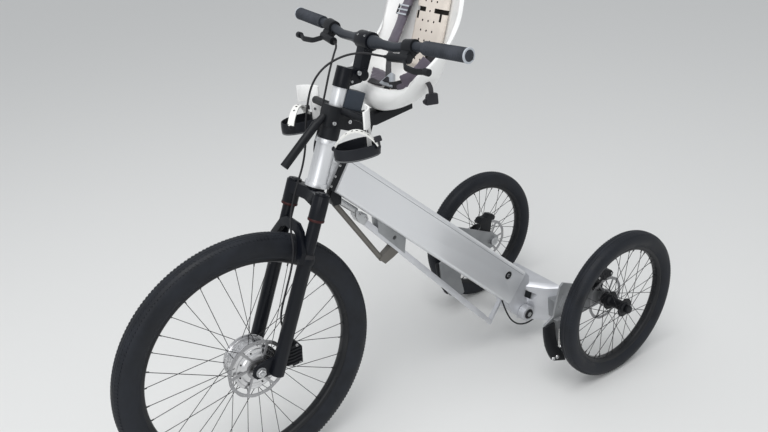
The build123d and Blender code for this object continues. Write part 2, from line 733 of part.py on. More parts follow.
with BuildPart() as fork_lowers:
    for side in (1, -1):
        with BuildSketch(COLUMN.offset(LOWER_LEG_LOW)):
            with Locations((LEG_FORWARD, side * LEG_SPACING_HALF)):
                Circle(LOWER_LEG_RADIUS)
        extrude(amount=LOWER_LEG_TOP - LOWER_LEG_LOW)
        with BuildSketch(COLUMN.offset(LOWER_LEG_TOP - 14)):
            with Locations((LEG_FORWARD, side * LEG_SPACING_HALF)):
                Circle(LOWER_LEG_RADIUS + 3)
        extrude(amount=14)
        dropout = [
            (LEG_FORWARD - 8, LOWER_LEG_LOW + 44),
            (LEG_FORWARD + 12, LOWER_LEG_LOW + 44),
            (FORK_OFFSET + 10, -FORK_LENGTH + 18),
            (FORK_OFFSET + 18, -FORK_LENGTH + 8),
            (FORK_OFFSET + 18, -FORK_LENGTH - 12),
            (FORK_OFFSET + 6, -FORK_LENGTH - 20),
            (LEG_FORWARD - 10, LOWER_LEG_LOW + 2),
        ]
        low_y, high_y = sorted((side * DROPOUT_INNER, side * (DROPOUT_INNER + DROPOUT_THICKNESS)))
        side_prism(column_side(dropout), low_y, high_y)
    arch_plane = Plane(origin=column_point(34, 0, 0), x_dir=(0, 1, 0), z_dir=COLUMN.x_dir)
    with BuildSketch(arch_plane):
        with BuildLine():
            Polyline(
                (-80, -236),
                (-80, -208),
                (-52, -164),
                (-26, -150),
                (26, -150),
                (52, -164),
                (80, -208),
                (80, -236),
                (60, -236),
                (56, -212),
                (40, -182),
                (22, -173),
                (-22, -173),
                (-40, -182),
                (-56, -212),
                (-60, -236),
                close=True,
            )
        make_face()
    extrude(amount=12)
    add(stanchions.part, mode=Mode.SUBTRACT)
    add(front_axle.part, mode=Mode.SUBTRACT)
write(fork_lowers, "fork_lowers")

with BuildPart() as front_caliper:
    cheek = [(-114, -20), (-86, -20), (-86, 36), (-106, 42), (-117, 28)]
    nose = [(-86, -16), (-62, -10), (-64, 24), (-86, 32)]
    side_prism([(WHEELBASE + x, FRONT_RADIUS + z) for x, z in cheek], 34, 62)
    side_prism([(WHEELBASE + x, FRONT_RADIUS + z) for x, z in nose], 47.5, 62)
    add(fork_lowers.part, mode=Mode.SUBTRACT)
write(front_caliper, "front_caliper")

# Steering column above the head tube
with BuildPart() as seat_mount:
    collar_low = HEAD_TUBE_HALF + AXIAL_CLEARANCE
    with BuildSketch(COLUMN.offset(collar_low)):
        Circle(25)
    extrude(amount=COLLAR_TOP - collar_low)
    with BuildSketch(COLUMN.offset(90)):
        with BuildLine():
            Polyline((26, -16), (26, 16), (10, 24), (-104, 24), (-104, -24), (10, -24), close=True)
        make_face()
    extrude(amount=COLUMN_TUBE_LOW - 90)
    side_prism(from_head((-142, 93), (-262, 93), (-262, 81), (-150, 64), (-120, 68)), -24, 24)
    for side in (1, -1):
        round_bar(*from_head((-60, side * 20, 120), (-60, side * 110, 120)), 9.5)
    with BuildSketch(COLUMN.offset(collar_low)):
        Circle(STEERER_RADIUS)
    extrude(amount=COLUMN_TUBE_LOW - collar_low, mode=Mode.SUBTRACT)
write(seat_mount, "seat_mount")

with BuildPart() as front_bar:
    round_bar(*from_head((4, 0, 100), (102, 0, 16)), 10.5)
    round_bar(*from_head((-18, 0, 113), (8, 0, 96.5)), 9)
    add(seat_mount.part, mode=Mode.SUBTRACT)
write(front_bar, "front_bar")

with BuildPart() as column_tube:
    with BuildSketch(COLUMN.offset(COLUMN_TUBE_LOW)):
        Circle(18)
        Circle(STEERER_RADIUS, mode=Mode.SUBTRACT)
    extrude(amount=STEM_LOW - COLUMN_TUBE_LOW)
write(column_tube, "column_tube")

with BuildPart() as latch_box:
    with BuildSketch(COLUMN.offset(COLUMN_TUBE_LOW)):
        with BuildLine():
            Polyline((-10, -19), (-10, 19), (-62, 19), (-62, -19), close=True)
        make_face()
        Circle(18, mode=Mode.SUBTRACT)
    extrude(amount=STEM_LOW - COLUMN_TUBE_LOW)
write(latch_box, "latch_box")

bar_forward = SINE * (BAR_X - HEAD_X) + COSINE * (BAR_Z - HEAD_Z)
bar_up = -COSINE * (BAR_X - HEAD_X) + SINE * (BAR_Z - HEAD_Z)
with BuildPart() as stem:
    with BuildSketch(COLUMN.offset(STEM_LOW)):
        Circle(21)
    extrude(amount=STEM_TOP - STEM_LOW)
    pivot = column_point(-42, 0, 226)
    side_prism(column_side([(-10, 192), (-10, 232), (-42, 244), (-56, 226), (-42, 208)]), -17, 17)
    arm = [(-30, 222), (-54, 222), (bar_forward - 12, bar_up), (bar_forward + 14, bar_up)]
    side_prism(column_side(arm), -15, 15)
    round_bar((pivot.X, -23, pivot.Z), (pivot.X, 23, pivot.Z), 13)
    round_bar((BAR_X, -23, BAR_Z), (BAR_X, 23, BAR_Z), 22)
    with BuildSketch(Plane.XZ.offset(-23)):
        with Locations((BAR_X, BAR_Z)):
            Circle(CLAMP_RADIUS)
    extrude(amount=46, mode=Mode.SUBTRACT)
    with BuildSketch(COLUMN.offset(STEM_LOW)):
        Circle(STEERER_RADIUS)
    extrude(amount=STEERER_TOP - STEM_LOW, mode=Mode.SUBTRACT)
write(stem, "stem")

with BuildPart() as handlebar:
    round_bar((BAR_X, -34, BAR_Z), (BAR_X, 34, BAR_Z), CLAMP_RADIUS)
    for side in (1, -1):
        with BuildSketch(Plane.XZ.offset(-side * 34)):
            with Locations((BAR_X, BAR_Z)):
                Circle(CLAMP_RADIUS)
        with BuildSketch(Plane.XZ.offset(-side * 60)):
            with Locations((BAR_X, BAR_Z)):
                Circle(BAR_RADIUS)
        loft()
        with BuildLine():
            route = FilletPolyline(
                (BAR_X, side * 59, BAR_Z),
                (BAR_X, side * 110, BAR_Z),
                (BAR_X - 7, side * 175, BAR_Z + 12),
                (BAR_END_X, side * (GRIP_OUTER - 1), BAR_END_Z),
                radius=80,
            )
        with BuildSketch(Plane(origin=route @ 0, z_dir=route % 0)):
            Circle(BAR_RADIUS)
        sweep(path=route)
write(handlebar, "handlebar")

# Grips and brake levers
with BuildPart() as grips:
    for side in (1, -1):
        grip_start = (BAR_X - 9.2, side * GRIP_INNER, BAR_Z + 13.3)
        round_bar(grip_start, (BAR_END_X, side * GRIP_OUTER, BAR_END_Z), GRIP_RADIUS)
    add(handlebar.part, mode=Mode.SUBTRACT)
write(grips, "grips")

with BuildPart() as lever_bodies:
    for side in (1, -1):
        round_bar(*from_head((-158, side * 150, 276), (-161, side * 180, 279.5)), 17)
        round_bar(*from_head((-132, side * 118, 252), (-142, side * 182, 256)), 10)
        clamp_side = from_head((-158, 274), (-142, 272), (-128, 252), (-140, 244), (-166, 262))
        side_prism(clamp_side, *sorted((side * 152, side * 178)))
    add(handlebar.part, mode=Mode.SUBTRACT)
write(lever_bodies, "lever_bodies")

with BuildPart() as lever_blades:
    for side in (1, -1):
        with BuildLine():
            blade_route = from_head(
                (-132, side * 176, 252),
                (-118, side * 196, 245),
                (-114, side * 236, 244),
                (-122, side * 268, 248),
            )
            blade = FilletPolyline(*blade_route, radius=30)
        with BuildSketch(Plane(origin=blade @ 0, x_dir=(0, 0, 1), z_dir=blade % 0)):
            Rectangle(12, 6)
        sweep(path=blade)
        with BuildSketch(Plane.XZ.offset(-side * 262)):
            with Locations(*from_head((-121, 247.6))):
                Circle(8)
        extrude(amount=-side * 14)
    add(lever_bodies.part, mode=Mode.SUBTRACT)
write(lever_blades, "lever_blades")

# Child seat: a bucket cut from three outlines, hollowed the same way
seat_side = from_head(*SEAT_SIDE)


def bucket(inset, lift):
    """Closed bucket shape, with its walls moved in and its open edge moved up and forward."""
    with BuildPart() as shape:
        with BuildSketch(Plane.XZ) as side_view:
            with BuildLine():
                Polyline(*seat_side, close=True)
            make_face()
            if inset:
                offset(amount=-inset)
        extrude(side_view.sketch, amount=SEAT_HALF_WIDTH + 10, both=True)
        if lift:
            rim_points = seat_side[-4:] + [seat_side[0]]
            raised = [(x + lift, z + lift) for x, z in reversed(rim_points)]
            lowered = [(x - 2 * inset, z - 1.2 * inset) for x, z in rim_points]
            with BuildSketch(Plane.XZ) as above:
                with BuildLine():
                    Polyline(*lowered, *raised, close=True)
                make_face()
            extrude(above.sketch, amount=SEAT_HALF_WIDTH + 10, both=True)
        with BuildSketch(Plane(origin=(HEAD_X, 0, HEAD_Z + 38))) as plan:
            for side in (1, -1):
                with BuildLine():
                    Polyline(*[(x, side * y) for x, y in SEAT_PLAN], close=True)
                make_face()
            if inset:
                offset(amount=-inset)
        extrude(plan.sketch, amount=500, mode=Mode.INTERSECT)
        with BuildSketch(axle_plane(HEAD_X - 482, HEAD_Z)) as front:
            for side in (1, -1):
                with BuildLine():
                    Polyline(*[(side * y, z) for y, z in SEAT_FRONT], close=True)
                make_face()
            if inset:
                offset(amount=-inset)
        extrude(front.sketch, amount=500, mode=Mode.INTERSECT)
    return shape.part


seat_solid = bucket(0, 0)
seat_hollow = bucket(SEAT_WALL, 60)
with BuildPart() as seat_shell:
    add(seat_solid)
    add(seat_hollow, mode=Mode.SUBTRACT)
write(seat_shell, "seat_shell")

# Padding and harness as plain solids, each lying on what carries it
def moved_in(first, second, distance):
    """A side view line moved towards the seat's inside by a distance."""
    run = Vector(second[0] - first[0], second[1] - first[1])
    shift = Vector(run.Y, -run.X).normalized() * distance
    return [(point[0] + shift.X, point[1] + shift.Y) for point in (first, second)]


floor_height = seat_side[3][1] + SEAT_WALL
back_low, back_high = seat_side[4], seat_side[5]
back_rear = moved_in(back_low, back_high, SEAT_WALL)
back_front = moved_in(back_low, back_high, SEAT_WALL + PAD_THICKNESS)
strap_front = moved_in(back_low, back_high, SEAT_WALL + PAD_THICKNESS + STRAP_PAD_THICKNESS)
pad_top = floor_height + 2 * PAD_THICKNESS


def along(line, share):
    """Point at a share of a side view line's length."""
    return tuple(start + share * (end - start) for start, end in zip(*line))


with BuildPart() as seat_pad:
    nose, tail = from_head((-156, 126), (-286, 118))
    flat = [(HEAD_X - 174, floor_height), (HEAD_X - 258, floor_height)]
    top = [(HEAD_X - 280, pad_top), (HEAD_X - 170, pad_top)]
    seat_pad_side = [nose, *flat, tail, *top]
    side_prism(seat_pad_side, -88, 88)
write(seat_pad, "seat_pad")

with BuildPart() as back_pad:
    back_pad_side = [along(back_rear, 0.12), along(back_rear, 0.97)]
    back_pad_side += [along(back_front, 0.95), along(back_front, 0.16)]
    side_prism(back_pad_side, -78, 78)
write(back_pad, "back_pad")

with BuildPart() as shoulder_pads:
    for side in (1, -1):
        strap_side = [
            along(back_front, 0.2),
            along(back_front, 0.94),
            along(strap_front, 0.92),
            along(strap_front, 0.22),
        ]
        side_prism(strap_side, *sorted((side * 28, side * 66)))
write(shoulder_pads, "shoulder_pads")

with BuildPart() as harness_buckle:
    buckle = [(-216, 0), (-190, 0), (-192, BUCKLE_HEIGHT), (-214, BUCKLE_HEIGHT)]
    side_prism([(HEAD_X + x, pad_top + z) for x, z in buckle], -26, 26)
write(harness_buckle, "harness_buckle")

# Foot cups with their straps, and the leg guards above them
with BuildPart() as foot_cups:
    for side in (1, -1):
        heel = CUP_X - CUP_LENGTH / 2
        toe = CUP_X + CUP_LENGTH / 2
        outline = [
            (heel, side * (CUP_Y - 30)),
            (heel, side * (CUP_Y + 30)),
            (toe - 52, side * (CUP_Y + CUP_HALF_WIDTH)),
            (toe - 14, side * (CUP_Y + 22)),
            (toe, side * (CUP_Y - 4)),
            (toe - 12, side * (CUP_Y - 24)),
            (toe - 52, side * (CUP_Y - CUP_HALF_WIDTH)),
        ]
        with BuildSketch(Plane.XY.offset(CUP_Z)):
            with BuildLine():
                Polyline(*outline, close=True)
            make_face()
        extrude(amount=CUP_WALL)
        with BuildSketch(Plane.XY.offset(CUP_Z)):
            with BuildLine():
                Polyline(*outline, close=True)
            make_face()
            offset(amount=-CUP_WALL, mode=Mode.SUBTRACT)
        extrude(amount=CUP_DEPTH)
write(foot_cups, "foot_cups")


def strap_arch(side, thickness, half_width):
    """Strap over a foot cup, from its front inner wall to its rear outer wall."""
    start = Vector(STRAP_FRONT[0], side * STRAP_FRONT[1], CUP_Z + CUP_DEPTH)
    finish = Vector(STRAP_REAR[0], side * STRAP_REAR[1], CUP_Z + CUP_DEPTH)
    span = (finish - start).length
    low = STRAP_RISE - thickness
    plane = Plane(origin=start, x_dir=finish - start, z_dir=(finish - start).cross(Vector(0, 0, 1)))
    with BuildSketch(plane) as section:
        with BuildLine():
            ThreePointArc((0, 0), (span / 2, STRAP_RISE), (span, 0))
            Line((span, 0), (span - thickness, 0))
            ThreePointArc((span - thickness, 0), (span / 2, low), (thickness, 0))
            Line((thickness, 0), (0, 0))
        make_face()
    extrude(section.sketch, amount=half_width, both=True)


with BuildPart() as foot_straps:
    for side in (1, -1):
        strap_arch(side, STRAP_THICKNESS, STRAP_HALF_WIDTH)
write(foot_straps, "foot_straps")

with BuildPart() as leg_guards:
    for side in (1, -1):
        with BuildSketch(Plane.XY.offset(CUP_Z + CUP_WALL)):
            with BuildLine():
                outer = [(CUP_X + x, side * (CUP_Y + y)) for x, y in ((-48, -24), (-38, 6), (-12, 24))]
                inner = [(CUP_X + x, side * (CUP_Y + y)) for x, y in ((-9, 21), (-34, 4), (-44, -24))]
                ThreePointArc(*outer)
                Line(outer[-1], inner[0])
                ThreePointArc(*inner)
                Line(inner[-1], outer[0])
            make_face()
        extrude(amount=GUARD_HEIGHT)
        with BuildSketch(Plane.XY.offset(CUP_Z)):
            with BuildLine():
                notch = [(STRAP_REAR[0], CUP_Y), (STRAP_REAR[0], 160), (CUP_X, 160), (CUP_X, CUP_Y)]
                Polyline(*[(x, side * y) for x, y in notch], close=True)
            make_face()
        extrude(amount=CUP_DEPTH + STRAP_RISE + 2, mode=Mode.SUBTRACT)
    add(seat_mount.part, mode=Mode.SUBTRACT)
write(leg_guards, "leg_guards")


def hose(points, radius):
    """Hose along a chosen route, with every bend as wide as its two runs allow."""
    corners = [Vector(*point) for point in points]
    radii = []
    for before, corner, after in zip(corners, corners[1:], corners[2:]):
        turn = math.radians((corner - before).get_angle(after - corner))
        shorter = min((corner - before).length, (after - corner).length)
        radii.append(0.45 * shorter / math.tan(turn / 2))
    with BuildPart() as tube:
        with BuildLine() as line:
            FilletPolyline(*corners, radius=radii)
        route = line.wires()[0]
        with BuildSketch(Plane(origin=route @ 0, z_dir=route % 0)):
            Circle(radius)
        sweep(path=route)
    expected = math.pi * radius * radius * route.length
    print("hose radii", [round(value) for value in radii], "length", round(route.length))
    print("hose volume", round(tube.part.volume), "expected", round(expected))
    return tube


front_route = from_head(*FRONT_HOSE_ROUTE) + [tuple(column_point(*point)) for point in FRONT_HOSE_LEG]
front_run = hose(front_route, HOSE_RADIUS)
with BuildPart() as front_hose:
    add(front_run.part)
    add(lever_bodies.part, mode=Mode.SUBTRACT)
    add(front_caliper.part, mode=Mode.SUBTRACT)
write(front_hose, "front_hose")

rear_run = hose(from_head(*REAR_HOSE_ROUTE), HOSE_RADIUS)
with BuildPart() as rear_hose_upper:
    add(rear_run.part)
    add(lever_bodies.part, mode=Mode.SUBTRACT)
write(rear_hose_upper, "rear_hose_upper")

front_lower = hose(from_head(*BEAM_HOSE_ENTRY), HOSE_RADIUS)
tail_lower = hose(from_axle(*TAIL_HOSE_ROUTE), HOSE_RADIUS)
with BuildPart() as rear_hose_lower:
    add(front_lower.part)
    add(tail_lower.part)
    add(main_beam.part, mode=Mode.SUBTRACT)
    add(knuckle_block.part, mode=Mode.SUBTRACT)
    add(end_clevis.part, mode=Mode.SUBTRACT)
write(rear_hose_lower, "rear_hose_lower")
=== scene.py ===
# %% [markdown]
# # A stand-up three-wheeler with a child seat
#
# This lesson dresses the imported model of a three-wheeled cycle: one large wheel in a
# suspension fork, a sloping square beam, two small wheels behind, and a child's seat on
# the steering column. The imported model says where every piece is. Blender gives each
# piece its finish, and makes again what a plain solid can't show, such as tread, wire
# spokes, padding and webbing.

# %% Load the frame
import json
import math

import bmesh
import bpy
import numpy as np
from mathutils import Matrix, Vector

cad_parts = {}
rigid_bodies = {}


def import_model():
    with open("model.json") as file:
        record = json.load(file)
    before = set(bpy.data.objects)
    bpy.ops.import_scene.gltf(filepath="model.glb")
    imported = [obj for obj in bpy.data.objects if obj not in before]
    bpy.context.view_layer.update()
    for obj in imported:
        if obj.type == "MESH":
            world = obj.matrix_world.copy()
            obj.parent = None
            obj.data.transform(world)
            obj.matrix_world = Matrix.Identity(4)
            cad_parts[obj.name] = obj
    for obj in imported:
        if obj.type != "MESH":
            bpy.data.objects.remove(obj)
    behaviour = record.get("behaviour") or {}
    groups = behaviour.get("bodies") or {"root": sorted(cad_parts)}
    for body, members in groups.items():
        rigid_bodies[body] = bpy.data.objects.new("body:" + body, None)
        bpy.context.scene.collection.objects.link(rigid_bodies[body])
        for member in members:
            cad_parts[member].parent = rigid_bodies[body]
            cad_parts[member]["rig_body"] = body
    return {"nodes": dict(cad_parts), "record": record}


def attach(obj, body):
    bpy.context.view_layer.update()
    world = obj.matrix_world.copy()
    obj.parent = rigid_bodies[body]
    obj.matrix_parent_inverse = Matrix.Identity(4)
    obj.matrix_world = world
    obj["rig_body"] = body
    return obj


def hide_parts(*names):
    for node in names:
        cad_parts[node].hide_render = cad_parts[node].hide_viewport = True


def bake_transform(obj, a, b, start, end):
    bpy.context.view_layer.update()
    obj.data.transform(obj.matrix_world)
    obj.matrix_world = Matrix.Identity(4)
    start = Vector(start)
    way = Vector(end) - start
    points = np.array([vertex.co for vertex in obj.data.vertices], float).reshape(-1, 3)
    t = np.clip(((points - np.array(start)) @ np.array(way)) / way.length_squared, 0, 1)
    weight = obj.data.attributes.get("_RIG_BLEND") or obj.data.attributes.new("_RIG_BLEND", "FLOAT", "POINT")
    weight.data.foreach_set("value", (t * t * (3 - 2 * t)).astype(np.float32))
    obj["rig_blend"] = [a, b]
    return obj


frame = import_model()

scene = bpy.context.scene
cad_nodes = frame["nodes"]
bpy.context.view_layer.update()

# %% [markdown]
# ## Two rulers
#
# The drawing of this vehicle is in millimetres from the rear axle, and the model is in
# metres from the ground below its middle. One small function turns the first into the
# second. The fork, the handlebar and the seat follow the steering axis, which leans
# back, so a second function takes distances forward, left and up along that axis.

# %% Points of the drawing
WHEELBASE = 1042.0
REAR_TRACK = 606.0
FRONT_RADIUS = 345.0
REAR_RADIUS = 231.0
MIDDLE_X = 578.0
HEAD_X = 782.0
HEAD_Z = 812.0
HEAD_ANGLE = math.radians(67.7)
MM = 0.001
LEFT = Vector((0, 1, 0))
RIGHT = Vector((0, -1, 0))
UP = Vector((0, 0, 1))
SQUARE = ((-1, -1), (1, -1), (1, 1), (-1, 1))


def at(x, y, z):
    """Point of the drawing, in metres in the model's frame."""
    return Vector(((x - MIDDLE_X) * MM, y * MM, z * MM))


def column(forward, left, up):
    """Point given along the steering axis, in metres in the model's frame."""
    x = HEAD_X + forward * math.sin(HEAD_ANGLE) - up * math.cos(HEAD_ANGLE)
    z = HEAD_Z + forward * math.cos(HEAD_ANGLE) + up * math.sin(HEAD_ANGLE)
    return at(x, left, z)


print("front axle", [round(v, 3) for v in at(WHEELBASE, 0, FRONT_RADIUS)])

# %% [markdown]
# ## The camera
#
# The camera stands about two and a half metres away, at the front left, above the
# handlebar, and looks down along the vehicle. Its place, its turn and its lens were
# worked out from the outlines of the wheels. The matrix is written out in full, so
# that the small roll of the hand-held picture is kept.

# %% Camera
CAMERA_PLACE = at(1610.4, 1492.5, 1478.2)
CAMERA_YAW = -2.160745
CAMERA_PITCH = -0.449541
CAMERA_ROLL = -0.062913
LENS_PIXELS = 752.26
IMAGE_WIDTH = 768

look = Vector((
    math.cos(CAMERA_PITCH) * math.cos(CAMERA_YAW),
    math.cos(CAMERA_PITCH) * math.sin(CAMERA_YAW),
    math.sin(CAMERA_PITCH),
))
level_right = look.cross(UP).normalized()
level_up = level_right.cross(look)
right = math.cos(CAMERA_ROLL) * level_right + math.sin(CAMERA_ROLL) * level_up
upward = -math.sin(CAMERA_ROLL) * level_right + math.cos(CAMERA_ROLL) * level_up
camera_data = bpy.data.cameras.new("camera")
camera_data.sensor_width = 36.0
camera_data.lens = camera_data.sensor_width * LENS_PIXELS / IMAGE_WIDTH
camera = bpy.data.objects.new("camera", camera_data)
camera.matrix_world = Matrix((
    (right.x, upward.x, -look.x, CAMERA_PLACE.x),
    (right.y, upward.y, -look.y, CAMERA_PLACE.y),
    (right.z, upward.z, -look.z, CAMERA_PLACE.z),
    (0, 0, 0, 1),
))
scene.collection.objects.link(camera)
scene.camera = camera
print("lens", round(camera_data.lens, 2))

# %% [markdown]
# ## Floor and light
#
# The floor is one pale sheet, wide enough to fill the view. The sky is even and soft,
# one large lamp above gives the shadow its direction, and a weaker one lights the
# front. The lamps are weak, so a colour comes out about as it is written.

# %% Floor
scene.view_settings.view_transform = "Standard"
FLOOR_COLOUR = (0.78, 0.78, 0.77, 1)
FLOOR_HALF = 14

floor_mesh = bpy.data.meshes.new("floor")
floor_corners = [(x * FLOOR_HALF, y * FLOOR_HALF, 0) for x, y in SQUARE]
floor_mesh.from_pydata(floor_corners, [], [(0, 1, 2, 3)])
floor = bpy.data.objects.new("floor", floor_mesh)
scene.collection.objects.link(floor)
floor_finish = bpy.data.materials.new("floor_finish")
floor_finish.use_nodes = True
floor_shader = floor_finish.node_tree.nodes["Principled BSDF"]
floor_shader.inputs["Base Color"].default_value = FLOOR_COLOUR
floor_shader.inputs["Roughness"].default_value = 0.9
floor_mesh.materials.append(floor_finish)
print("floor", 2 * FLOOR_HALF, "m wide")

# %% Sky
SKY_STRENGTH = 0.62
world = bpy.data.worlds.new("sky")
world.use_nodes = True
scene.world = world
sky = world.node_tree
ray = sky.nodes.new("ShaderNodeLightPath")
soft = sky.nodes["Background"]
soft.inputs["Color"].default_value = (0.95, 0.975, 1.0, 1)
soft.inputs["Strength"].default_value = SKY_STRENGTH
plain = sky.nodes.new("ShaderNodeBackground")
plain.inputs["Color"].default_value = (0.9, 0.9, 0.9, 1)
plain.inputs["Strength"].default_value = 1.0
choose = sky.nodes.new("ShaderNodeMixShader")
sky.links.new(ray.outputs["Is Camera Ray"], choose.inputs[0])
sky.links.new(soft.outputs[0], choose.inputs[1])
sky.links.new(plain.outputs[0], choose.inputs[2])
sky.links.new(choose.outputs[0], sky.nodes["World Output"].inputs[0])
print("sky nodes", len(sky.nodes))

# %% Lamps
def lamp(name, place, target, width, power):
    """Large soft lamp turned to a point."""
    data = bpy.data.lights.new(name, "AREA")
    data.shape = "DISK"
    data.size = width
    data.energy = power
    holder = bpy.data.objects.new(name, data)
    holder.location = place
    holder.rotation_mode = "QUATERNION"
    holder.rotation_quaternion = (Vector(target) - Vector(place)).to_track_quat("-Z", "Y")
    scene.collection.objects.link(holder)


lamp("overhead_lamp", (1.2, 0.8, 4.2), (0, 0, 0.4), 3.0, 90)
lamp("front_lamp", (3.0, 2.4, 1.9), (0.2, 0, 0.5), 2.0, 22)
print("stage made")

# %% [markdown]
# ## Finishes
#
# Each finish starts from one shader. A small helper makes the shader and keeps the
# node tree at hand, and a second one makes a noise pattern that is fixed to the piece.
# Three-dimensional noise on Object coordinates needs no unwrapping, and it moves with
# the piece. Grain, scratches and dust come from noise at different scales, because a
# real surface is never one flat colour.

# %% Shader helpers
def finish(name, colour, rough, metallic=0.0):
    """New material, its node tree and its shader."""
    made = bpy.data.materials.new(name)
    made.use_nodes = True
    tree = made.node_tree
    shader = tree.nodes["Principled BSDF"]
    shader.inputs["Base Color"].default_value = (*colour, 1)
    shader.inputs["Roughness"].default_value = rough
    shader.inputs["Metallic"].default_value = metallic
    return made, tree, shader


def grain(tree, scale, stretch=(1, 1, 1), turn=(0, 0, 0), detail=4.0, source="Object"):
    """Noise fixed to the piece, stretched and turned, as a value from 0 to 1."""
    place = tree.nodes.new("ShaderNodeTexCoord")
    mapping = tree.nodes.new("ShaderNodeMapping")
    mapping.inputs["Rotation"].default_value = turn
    mapping.inputs["Scale"].default_value = stretch
    noise = tree.nodes.new("ShaderNodeTexNoise")
    noise.inputs["Scale"].default_value = scale
    noise.inputs["Detail"].default_value = detail
    tree.links.new(place.outputs[source], mapping.inputs["Vector"])
    tree.links.new(mapping.outputs["Vector"], noise.inputs["Vector"])
    return noise.outputs["Fac"]


def spread(tree, value, low, high, from_low=0.3, from_high=0.7):
    """The value mapped from one range to another."""
    node = tree.nodes.new("ShaderNodeMapRange")
    node.inputs["From Min"].default_value = from_low
    node.inputs["From Max"].default_value = from_high
    node.inputs["To Min"].default_value = low
    node.inputs["To Max"].default_value = high
    tree.links.new(value, node.inputs["Value"])
    return node.outputs["Result"]


def blended(tree, factor, first, second):
    """Colour between two colours, by a factor."""
    node = tree.nodes.new("ShaderNodeMix")
    node.data_type = "RGBA"
    node.inputs[6].default_value = (*first, 1)
    node.inputs[7].default_value = (*second, 1)
    tree.links.new(factor, node.inputs[0])
    return node.outputs[2]


def relief(tree, shader, value, depth, strength=1.0):
    """Fine height pattern of a depth in metres, on the shader's normal."""
    bump = tree.nodes.new("ShaderNodeBump")
    bump.inputs["Distance"].default_value = depth
    bump.inputs["Strength"].default_value = strength
    tree.links.new(value, bump.inputs["Height"])
    tree.links.new(bump.outputs["Normal"], shader.inputs["Normal"])


print("shader helpers ready")

# %% [markdown]
# ### Bare and painted metal
#
# The beam is brushed aluminium under a clear coat, with faint lines that run along it.
# The brushing is noise stretched along the beam's own slope. Cast and turned parts have
# the same metal without lines. Black parts are powder coated, with a fine orange-peel
# relief and a duller patch here and there. Paint has no metallic share, because its
# colour sits in the binder.

# %% Metal finish helpers
BEAM_SLOPE = math.radians(43.0)
HEAD_SLOPE = math.radians(-22)


def brushed_finish(name, colour, turn, coat):
    """Brushed aluminium whose lines run along one direction."""
    made, tree, shader = finish(name, colour, 0.34, 0.5)
    lines = grain(tree, 16, (0.5, 60, 60), turn, 4)
    cloud = grain(tree, 5)
    shade = tree.nodes.new("ShaderNodeMath")
    shade.operation = "MULTIPLY_ADD"
    tree.links.new(lines, shade.inputs[0])
    shade.inputs[1].default_value = 0.6
    tree.links.new(spread(tree, cloud, 0.0, 0.4), shade.inputs[2])
    darker = tuple(part * 0.97 for part in colour)
    tree.links.new(blended(tree, shade.outputs[0], darker, colour), shader.inputs["Base Color"])
    tree.links.new(spread(tree, lines, 0.29, 0.37), shader.inputs["Roughness"])
    relief(tree, shader, lines, 0.00001, 0.15)
    shader.inputs["Coat Weight"].default_value = coat
    shader.inputs["Coat Roughness"].default_value = 0.12
    return made


def cast_finish(name, colour, rough=0.4, metallic=0.7, dust=0.5):
    """Cast or machined metal with a fine tooth and a little dust."""
    made, tree, shader = finish(name, colour, rough, metallic)
    tooth = grain(tree, 900, detail=2)
    cloud = grain(tree, 14)
    darker = tuple(part * (1 - 0.35 * dust) for part in colour)
    tree.links.new(blended(tree, spread(tree, cloud, 0, 1), darker, colour), shader.inputs["Base Color"])
    tree.links.new(spread(tree, cloud, rough + 0.12, rough - 0.06), shader.inputs["Roughness"])
    relief(tree, shader, tooth, 0.00005, 0.35)
    return made


def coated_finish(name, colour, rough=0.38, dust_colour=(0.035, 0.036, 0.04)):
    """Powder-coated metal with orange peel and thin dust in patches."""
    made, tree, shader = finish(name, colour, rough)
    peel = grain(tree, 520, detail=1.5)
    cloud = grain(tree, 9)
    dusty = blended(tree, spread(tree, cloud, 0.0, 0.3, 0.45, 0.75), colour, dust_colour)
    tree.links.new(dusty, shader.inputs["Base Color"])
    tree.links.new(spread(tree, cloud, rough - 0.05, rough + 0.15), shader.inputs["Roughness"])
    relief(tree, shader, peel, 0.00006, 0.3)
    shader.inputs["Specular IOR Level"].default_value = 0.22
    return made


print("metal helpers ready")

# %% Metals of this vehicle
beam_silver = brushed_finish("beam_silver", (0.78, 0.79, 0.81), (0, BEAM_SLOPE, 0), 0.35)
block_silver = cast_finish("block_silver", (0.68, 0.69, 0.72), 0.34, 0.5)
head_silver = brushed_finish("head_silver", (0.74, 0.75, 0.77), (0, HEAD_SLOPE, 0), 0.2)
plate_grey = cast_finish("plate_grey", (0.36, 0.37, 0.38), 0.5, 0.65)
brace_grey = cast_finish("brace_grey", (0.17, 0.16, 0.145), 0.45, 0.4)
rod_steel = cast_finish("rod_steel", (0.55, 0.56, 0.57), 0.3, 0.9)
motor_silver = cast_finish("motor_silver", (0.78, 0.78, 0.79), 0.2, 0.95, 0.7)
screw_black = cast_finish("screw_black", (0.02, 0.02, 0.022), 0.35, 0.7)
screw_silver = cast_finish("screw_silver", (0.72, 0.72, 0.73), 0.25, 0.95)
disc_steel = cast_finish("disc_steel", (0.40, 0.40, 0.41), 0.34, 0.85)
frame_black = coated_finish("frame_black", (0.008, 0.009, 0.011))
fork_black = coated_finish("fork_black", (0.004, 0.005, 0.008), 0.3, (0.010, 0.012, 0.017))
bar_black = coated_finish("bar_black", (0.03, 0.034, 0.042), 0.36, (0.05, 0.055, 0.065))
latch_grey = coated_finish("latch_grey", (0.04, 0.05, 0.066), 0.42, (0.06, 0.07, 0.085))
print("metal finishes", len(bpy.data.materials))

# %% [markdown]
# ### Rubber, plastic and cloth
#
# Tyre rubber is nearly black where it is clean, and a little dust from the road dulls
# it in patches. The dust is noise with a broad scale. Moulded plastic is smooth with a
# faint grain. The harness cloth is a plain weave: two sets of fine waves across each
# other.

